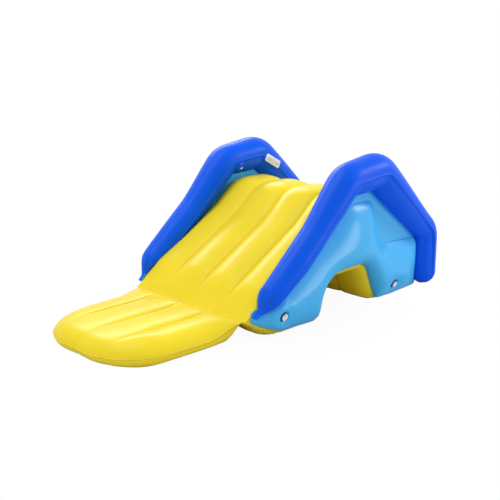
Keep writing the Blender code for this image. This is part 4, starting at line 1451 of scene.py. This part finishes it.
class PanelField:
    """How far a side panel stands out at a place: gently from its upper seams, quickly from its lower.

    Attributes:
        swell: How far the panel stands out at its crest.
        upper_reach: How far from its upper seams that takes.
        toe_reach: How far it takes at the front foot.
        toe_start: Place along the slide where the front foot's reach starts to give way.
        toe_blend: How far that takes.
        lower_reach: How far from the arch and the lower rear edge it takes.
        sole_share: How much nearer the soles count, so that the feet round off slowly.
        upper_edge: How steeply it starts at the upper seams.
        near_edge: How near the edge the exact distance takes over.
    """

    swell: float = 0.093
    upper_reach: float = 0.3
    toe_reach: float = 0.19
    lower_reach: float = 0.125
    sole_share: float = 0.5
    upper_edge: float = 0.2
    toe_start: float = -0.32
    toe_blend: float = 0.45
    near_edge: float = 0.012

    def __init__(self) -> None:
        """Lays the panel's edge."""
        self.line = Outline(panel_corners(SIZES), closed=True)
        self.edge = self.line.dense(0.003)
        self.starts = self.edge[:-1]
        self.runs = self.edge[1:] - self.edge[:-1]
        self.steps = np.sqrt((self.runs**2).sum(1))
        self.middles = self.starts + self.runs / 2
        rear = self.line.length_near(SIZES.rear_sole[0], SIZES.rear_sole[1] + SIZES.rear_sole[2])
        reached = np.cumsum(self.steps)
        self.upper = reached < rear
        sole = self.middles[:, 1] < SIZES.rear_sole[1]
        self.nearness = np.where(sole, self.sole_share**-3, 1.0)

    def distance(self, y: float, z: float, part: np.ndarray | None = None) -> float:
        """Distance to the panel's edge, or to a part of it.

        Args:
            y: Place along the slide.
            z: Height.
            part: Which of the edge's steps count.

        Returns:
            The distance.
        """
        starts, runs, steps = self.starts, self.runs, self.steps
        if part is not None:
            starts, runs, steps = starts[part], runs[part], steps[part]
        offsets = np.array((y, z)) - starts
        shares = np.clip((offsets * runs).sum(1) / np.maximum(steps**2, 1e-12), 0.0, 1.0)
        return float(np.sqrt(((offsets - runs * shares[:, None]) ** 2).sum(1).min()))

    def rounded_distance(self, y: float, z: float, part: np.ndarray) -> float:
        """Distance to a part of the edge, rounded off where its sides are equally near.

        Args:
            y: Place along the slide.
            z: Height.
            part: Which of the edge's steps count.

        Returns:
            The distance.
        """
        exact = self.distance(y, z, part)
        squares = ((np.array((y, z)) - self.middles[part]) ** 2).sum(1) + 1e-9
        total = float((self.steps * self.nearness)[part] @ squares**-2) * 2 / math.pi
        way = eased(exact / self.near_edge)
        return total ** (-1 / 3) * way + exact * (1 - way)

    def rise(self, y: float, z: float) -> float:
        """How far the panel stands out over a place."""
        toe = 1 - eased((y - self.toe_start) / self.toe_blend)
        reach = self.upper_reach + (self.toe_reach - self.upper_reach) * toe
        upper = held(self.rounded_distance(y, z, self.upper) / reach)
        lower = self.rounded_distance(y, z, ~self.upper) / self.lower_reach
        slow = (1 - self.upper_edge) * upper * (2 - upper) + self.upper_edge * round_rise(upper)
        return self.swell * slow * round_rise(lower)

    def ends(self) -> tuple[float, float]:
        """Front and rear end of the panel, a hair inside its edge."""
        return float(self.edge[:, 0].min()) + 0.00002, float(self.edge[:, 0].max()) - 0.00002

    def edges_at(self, y: float) -> tuple[float, float]:
        """Lower and upper edge of the panel at a place along the slide."""
        found = []
        for (y0, z0), (y1, z1) in zip(self.edge, self.edge[1:]):
            if min(y0, y1) <= y <= max(y0, y1) and abs(y1 - y0) > 1e-9:
                found.append(z0 + (z1 - z0) * (y - y0) / (y1 - y0))
        return min(found), max(found)


PANEL = PanelField()


@dataclass
class SidePanel:
    """A puffed light-blue side panel over the body's flank, flat at the back."""

    side: Side
    inner_x: float = 0.5061
    rows: int = 44

    def build(self, finish: bpy.types.Material) -> bpy.types.Object:
        """Builds the panel.

        Args:
            finish: Its vinyl.

        Returns:
            The piece.
        """
        start, end = PANEL.ends()
        columns = [start + mark for mark in graded(end - start, 0.0012, 0.01)]
        edges = [PANEL.edges_at(y) for y in columns]
        skin = Skin()
        skin.grid(
            len(columns) - 1,
            self.rows,
            lambda column, row: self.spot(columns[column], edges[column], row),
        )
        skin.close()
        if self.side is Side.RIGHT:
            for place in (FRONT_VALVE, REAR_VALVE):
                place.seat_skin(skin, self.side, LARGE_SIZES, 2)
        panel = skin.piece("panel_skin_" + self.side.title, finish)
        settle(panel, "slide", "light_blue_vinyl", "side_panel_" + self.side.title)
        return panel

    def spot(self, y: float, edges: tuple[float, float], row: int) -> Spot:
        """Finds a vertex of the panel's outer sheet.

        Args:
            y: Place along the slide.
            edges: Lower and upper edge there.
            row: Step up from the lower edge.

        Returns:
            The vertex.
        """
        low, high = edges
        z = low + (high - low) * (1 - math.cos(math.pi * row / self.rows)) / 2
        exact = PANEL.distance(y, z)
        x = self.inner_x + PANEL.rise(y, z)
        place = TUBE.clear_of(Vector((self.side.value * x, y, z)), TUBE_ROOM)
        weld = bump(exact, 0.004)
        slack = 0.8 * bump(exact - 0.006, 0.02)
        return Spot(place, weld, y * 1.3 + z, slack)


@dataclass
class SideWeb:
    """The flat side sheet behind a panel, up to the bolster that it carries.

    Attributes:
        side: The side of the slide.
        inner_x: Where its inner face lies.
        thickness: Its thickness.
        tuck: How far it reaches into the bolster.
        front_room: How far behind the panel's front end it starts.
        rear_room: How far before the bolster's rear axis it ends.
        rows: Faces up it.
        flat: Width and length of the flat sheet that it is cut from; not used.
    """

    side: Side
    inner_x: float = 0.5038
    thickness: float = 0.002
    tuck: float = 0.016
    front_room: float = 0.002
    rear_room: float = 0.0858
    rows: int = 36
    flat: tuple[float, float] = (1.55, 0.72)

    def build(self, finish: bpy.types.Material) -> bpy.types.Object:
        """Builds the sheet.

        Args:
            finish: Its vinyl.

        Returns:
            The piece.
        """
        start, end = PANEL.ends()[0] + self.front_room, TUBE.shoulder[0] - self.rear_room
        columns = [start + mark for mark in graded(end - start, 0.003, 0.011)]
        spans = [self.span(y) for y in columns]
        area = sum(
            (far - near) * ((a[1] - a[0]) + (b[1] - b[0])) / 2
            for near, far, a, b in zip(columns, columns[1:], spans, spans[1:])
        )
        skin = Skin()
        for outer in (False, True):
            skin.grid(
                len(columns) - 1,
                self.rows,
                lambda column, row, outer=outer: self.spot(columns[column], spans[column], row, outer),
            )
        bmesh.ops.bridge_loops(skin.bm, edges=[edge for edge in skin.bm.edges if edge.is_boundary])
        web = skin.piece("web_sheet_" + self.side.title, finish)
        settle(web, "slide", "light_blue_vinyl", "side_web_" + self.side.title)
        return web

    def span(self, y: float) -> tuple[float, float]:
        """Lower and upper edge of the sheet at a place along the slide."""
        low, high = PANEL.edges_at(min(y, SIZES.rear_sole[0] - 0.001))
        across = SIZES.bolster_x - self.inner_x
        top = TUBE.underside(y, (low + min(high, low + 0.02)) / 2, across)
        nose_y, nose_z = TUBE.nose
        if y < nose_y:
            share = (y - SIZES.joint_y) / (nose_y - SIZES.joint_y)
            top = min(top, SIZES.joint_height + share * (nose_z - SIZES.joint_height))
        return low, max(top + self.tuck, low + 0.002)

    def spot(self, y: float, span: tuple[float, float], row: int, outer: bool) -> Spot:
        """Finds a vertex of the sheet.

        Args:
            y: Place along the slide.
            span: Lower and upper edge there.
            row: Step up from the lower edge.
            outer: Whether it is on the outer face.

        Returns:
            The vertex.
        """
        low, high = span
        z = low + (high - low) * row / self.rows
        x = self.inner_x + (self.thickness if outer else 0.0)
        near_tube = bump(high - z, 0.03)
        return Spot(Vector((self.side.value * x, y, z)), bump(high - z, 0.006), y, 0.7 * near_tube)


@dataclass
class Valve:
    """A valve: a flanged seat with a neck, and its cap on a tether.

    Attributes:
        name: Start of its nodes' names.
        place: Where it sits.
        sizes: Its sizes.
        body: The body that its cap moves with.
        side: The side of the slide.
        gap: Room between the cap and its seat.
        steps: Steps round it.
        slope_up: The direction up the bolster's slope at the small valve.
    """

    name: str
    place: FittingPlace
    sizes: ValveSizes
    body: str
    side: Side = Side.RIGHT
    gap: float = SIZES.gap
    steps: int = 72
    slope_up: tuple[float, float, float] = (0.0, -0.1202, 0.9928)

    def build(self, finishes: Finishes) -> None:
        """Builds the seat and its cap.

        Args:
            finishes: The slide's finishes.
        """
        # The seat ring's dark navy is painted shade of the recess round the cap.
        self.seat(finishes.navy_painted_shade)
        self.cap(finishes.white)

    def seat(self, finish: bpy.types.Material) -> None:
        """Builds the seat, with the lug and the stop that the tether turns against."""
        sizes, gap = self.sizes, self.gap
        mould = Mould()
        profile = [
            Corner(sizes.bore, sizes.neck_height, sizes.rounding),
            Corner(sizes.neck, sizes.neck_height, sizes.rounding),
            Corner(sizes.neck, sizes.flange_height, sizes.rounding),
            Corner(sizes.flange, sizes.flange_height, sizes.rounding),
            Corner(sizes.flange, gap),
            Corner(sizes.bore, gap),
        ]
        mould.turn(profile, closed=True, steps=self.steps)
        half = sizes.tether / 2
        top = sizes.neck_height + gap + sizes.cap_height
        behind = sizes.neck + gap
        mould.block(
            (-half, sizes.neck - half, sizes.flange_height / 2),
            (half, behind + sizes.cap_height, sizes.neck_height),
            sizes.rounding / 2,
        )
        mould.block(
            (-half, behind, sizes.neck_height - sizes.flange_height),
            (half, behind + sizes.cap_height, top),
            sizes.rounding / 2,
        )
        seat = mould.piece(self.name + "_ring", finish, self.place.frame(self.side, self.up()))
        settle(seat, "slide", "navy_vinyl", self.name + "_seat")

    def cap(self, finish: bpy.types.Material) -> None:
        """Builds the cap with its plug, its rib and its tether."""
        sizes = self.sizes
        low = sizes.neck_height + self.gap
        top = low + sizes.cap_height
        plug = sizes.bore - self.gap
        end = sizes.neck_height - sizes.plug_depth
        mould = Mould()
        profile = [
            Corner(0.0, top),
            Corner(sizes.cap, top, sizes.rounding * 1.4),
            Corner(sizes.cap, low, sizes.rounding / 2),
            Corner(plug, low),
            Corner(plug - sizes.plug_taper, end, sizes.rounding),
            Corner(0.0, end),
        ]
        mould.turn(profile, closed=False, steps=self.steps)
        half = sizes.tether / 2
        mould.block((-half, 0.0, low), (half, sizes.neck, top), sizes.rounding / 2)
        rib = sizes.cap - sizes.rib_width
        mould.block(
            (-rib, -sizes.rib_width / 2, low + sizes.cap_height / 2),
            (rib, sizes.rib_width / 2, top + sizes.rib_height),
            sizes.rounding,
        )
        cap = mould.piece(self.name + "_lid", finish, self.place.frame(self.side, self.up()))
        settle(cap, self.body, "white_vinyl", self.name + "_cap")

    def up(self) -> Vector:
        """The direction that its tether lies in."""
        if self.sizes is SMALL_SIZES:
            return Vector(self.slope_up)
        return Vector((0.0, 0.0, 1.0))


@dataclass
class StrapHandle:
    """A hand strap: a welded plate with a strap bowed over it, on a bolster's inner face."""

    side: Side
    tilt: float = 28.5
    length: float = 0.15
    height: float = 0.054
    corner: float = 0.014
    thickness: float = 0.004
    strap_length: float = 0.13
    strap_width: float = 0.022
    strap_rise: float = 0.022
    strap_thickness: float = 0.005
    strap_foot: float = 0.012
    gap: float = SIZES.gap
    plate_rounding: float = 0.0012
    strap_rounding: float = 0.0009

    def place(self) -> Matrix:
        """Frame of the plate's underside."""
        tilt = math.radians(self.tilt)
        return HANDLE.frame(self.side, (0.0, math.sin(tilt), math.cos(tilt)))

    def seat(self) -> Seat:
        """The flat place on the bolster that the plate is welded to."""
        return Seat(self.place(), self.length / 2, self.height / 2, self.corner, self.gap / 2, 0.02)

    def build(self, finishes: Finishes) -> None:
        """Builds the plate and the strap.

        Args:
            finishes: The slide's finishes.
        """
        place, title = self.place(), self.side.title
        mould = Mould()
        low = (-self.length / 2, -self.height / 2, self.gap)
        high = (self.length / 2, self.height / 2, self.thickness)
        mould.block(low, high, self.plate_rounding, self.corner)
        plate = mould.piece("handle_plate_" + title, finishes.white, place)
        settle(plate, "slide", "white_vinyl", "handle_base_" + title)
        mould = Mould()
        mould.strap(self.side_view(), self.strap_width / 2, self.strap_rounding)
        # The strap's grey is painted shade of the gap under it.
        strap = mould.piece("hand_strap_" + title, finishes.painted_shade_grey, place)
        settle(strap, "slide", "grey_vinyl", "handle_grip_" + title)

    def side_view(self) -> list[Corner]:
        """The strap's side view: flat feet on the plate and a bow between them."""
        thick, half = self.strap_thickness, self.strap_length / 2
        low = self.thickness + self.gap
        high = low + thick
        rise = high + self.strap_rise - thick
        bow = half - self.strap_foot - self.strap_rise
        foot = half - self.strap_foot
        right = [
            Corner(bow + thick / 2, rise + thick, 3 * thick),
            Corner(foot + thick / 2, high, 1.5 * thick),
            Corner(half, high, 0.001),
            Corner(half, low),
            Corner(foot, low, 0.002),
            Corner(bow - thick / 2, rise, 2 * thick),
        ]
        left = [corner._replace(y=-corner.y) for corner in reversed(right)]
        return right + left


@dataclass
class Baffles:
    """The hidden baffles, which keep their shape from the frame."""

    def dress(self, finish: bpy.types.Material) -> None:
        """Gives each baffle its finish.

        Args:
            finish: The yellow vinyl.
        """
        for name, node in frame["nodes"].items():
            if "baffle" in name:
                node.data.materials.clear()
                node.data.materials.append(finish)


# Studio


@dataclass
class Studio:
    """A pale floor, soft light and the camera.

    Attributes:
        turn: The camera's turn round the slide, in degrees.
        rise: Its height over the horizon, in degrees.
        roll: Its roll, in degrees.
        distance: Its distance from the target.
        focus_pixels: Its focal length in the photograph's pixels.
        centre: The photograph's optical centre, in pixels.
        target: The point that the turn and distance are taken from.
        photo_side: The photograph's width and height, in pixels.
        sensor: Width of the camera's sensor, in millimetres.
        lamp_target: The point that the lamps face.
    """

    turn: float = 41.6075
    rise: float = 12.7001
    roll: float = 0.9097
    distance: float = 5.4996
    focus_pixels: float = 831.1812
    centre: tuple[float, float] = (306.3796, 218.8886)
    target: tuple[float, float, float] = (0.005, 0.545, 0.46)
    photo_side: int = 500
    sensor: float = 36.0
    lamp_target: tuple[float, float, float] = (0.0, 0.1, 0.35)

    def build(self) -> None:
        """Builds the studio."""
        self.camera()
        self.floor()
        self.world(0.42)
        self.lamp("top_light", (-0.9, -1.3, 5.2), (3.0, 3.0), 118.0)
        self.lamp("front_light", (1.6, -4.8, 1.9), (2.6, 2.6), 38.0)
        self.lamp("left_box", (-3.7, 1.75, 3.2), (3.4, 0.6), 92.0)
        self.lamp("rear_box", (2.7, 3.7, 2.9), (1.2, 1.2), 75.0)
        self.lamp("ridge_box", (4.3, 2.6, 1.0), (1.2, 1.2), 42.0)

    def camera(self) -> None:
        """Sets the camera at the photograph's angle."""
        turn, rise, roll = (math.radians(angle) for angle in (self.turn, self.rise, self.roll))
        back = Vector((math.sin(turn) * math.cos(rise), -math.cos(turn) * math.cos(rise), math.sin(rise)))
        right = Vector((math.cos(turn), math.sin(turn), 0.0))
        up = back.cross(right)
        rolled_right = right * math.cos(roll) + up * math.sin(roll)
        rolled_up = up * math.cos(roll) - right * math.sin(roll)
        place = Matrix((rolled_right, rolled_up, back)).transposed().to_4x4()
        place.translation = Vector(self.target) + back * self.distance
        data = bpy.data.cameras.new("camera")
        data.sensor_width = self.sensor
        data.lens = self.focus_pixels / self.photo_side * data.sensor_width
        data.shift_x = (self.photo_side / 2 - self.centre[0]) / self.photo_side
        data.shift_y = (self.centre[1] - self.photo_side / 2) / self.photo_side
        item = bpy.data.objects.new("camera", data)
        item.matrix_world = place
        bpy.context.scene.collection.objects.link(item)
        bpy.context.scene.camera = item

    def floor(self) -> None:
        """Lays a round pale floor that shows white to the camera but keeps the shadow."""
        bm = bmesh.new()
        bmesh.ops.create_circle(bm, cap_ends=True, segments=96, radius=14.0)
        mesh = bpy.data.meshes.new("floor")
        bm.to_mesh(mesh)
        bm.free()
        item = bpy.data.objects.new("floor", mesh)
        bpy.context.scene.collection.objects.link(item)
        material = bpy.data.materials.new("floor_paint")
        material.use_nodes = True
        bench = Bench(material.node_tree)
        matt = bench.node("ShaderNodeBsdfDiffuse", {}, {"Color": (0.7, 0.7, 0.7, 1.0)})
        glow = bench.node("ShaderNodeEmission", {}, {"Color": (1.0, 1.0, 1.0, 1.0), "Strength": 1.0})
        path = bench.node("ShaderNodeLightPath")
        place = bench.node("ShaderNodeTexCoord").outputs["Object"]
        far = bench.number("ShaderNodeVectorMath", {"operation": "LENGTH"}, {0: place}, "Value")
        seen = Shade(bench, path.outputs["Is Camera Ray"]) * (far * 0.1 + 0.89).kept()
        mixed = bench.node("ShaderNodeMixShader", {}, {0: seen, 1: matt.outputs[0], 2: glow.outputs[0]})
        bench.node("ShaderNodeOutputMaterial", {}, {"Surface": mixed.outputs[0]})
        mesh.materials.append(material)

    def world(self, strength: float) -> None:
        """Sets an even light all round, which shows white behind the slide.

        Args:
            strength: Its strength on the slide.
        """
        world = bpy.data.worlds.new("studio_air")
        world.use_nodes = True
        bench = Bench(world.node_tree)
        cool_white, plain_white = (0.97, 0.98, 1.0, 1.0), (1.0, 1.0, 1.0, 1.0)
        light = bench.node("ShaderNodeBackground", {}, {"Color": cool_white, "Strength": strength})
        white = bench.node("ShaderNodeBackground", {}, {"Color": plain_white, "Strength": 1.0})
        path = bench.node("ShaderNodeLightPath")
        kinds = ("Is Camera Ray", "Is Glossy Ray", "Is Transmission Ray")
        camera, glossy, through = (Shade(bench, path.outputs[name]) for name in kinds)
        seen = (camera + glossy + through).kept()
        mixed = bench.node("ShaderNodeMixShader", {}, {0: seen, 1: light.outputs[0], 2: white.outputs[0]})
        bench.node("ShaderNodeOutputWorld", {}, {"Surface": mixed.outputs[0]})
        bpy.context.scene.world = world
        bpy.context.scene.view_settings.view_transform = "Standard"

    def lamp(
        self, name: str, place: tuple[float, float, float], size: tuple[float, float], power: float
    ) -> None:
        """Hangs a soft light that faces the slide.

        Args:
            name: The light's name.
            place: Where it hangs.
            size: Its length, which lies level, and its width.
            power: Its power in watts.
        """
        data = bpy.data.lights.new(name, "AREA")
        data.shape = "RECTANGLE"
        data.size, data.size_y = size
        data.energy = power
        item = bpy.data.objects.new(name, data)
        aim = Vector(self.lamp_target) - Vector(place)
        item.matrix_world = Matrix.Translation(place) @ aim.to_track_quat("-Z", "Y").to_matrix().to_4x4()
        bpy.context.scene.collection.objects.link(item)


def main() -> None:
    """Builds the slide's pieces in order."""
    logging.basicConfig(level=logging.INFO, format="%(message)s")
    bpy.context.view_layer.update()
    Studio().build()
    finishes = Finishes()
    YellowBand().build(finishes.yellow)
    LandingPad().build(finishes.yellow)
    for side in Side:
        Bolster(side).build(finishes.royal_blue)
        SidePanel(side).build(finishes.light_blue)
        SideWeb(side).build(finishes.light_blue)
        StrapHandle(side).build(finishes)
        small = "bolster_valve_" + side.title
        Valve(small, SMALL_VALVE, SMALL_SIZES, "bolster_cap_" + side.title, side).build(finishes)
    Valve("front_valve", FRONT_VALVE, LARGE_SIZES, "front_cap").build(finishes)
    Valve("rear_valve", REAR_VALVE, LARGE_SIZES, "rear_cap").build(finishes)
    Baffles().dress(finishes.yellow)


if __name__ == "__main__":
    main()
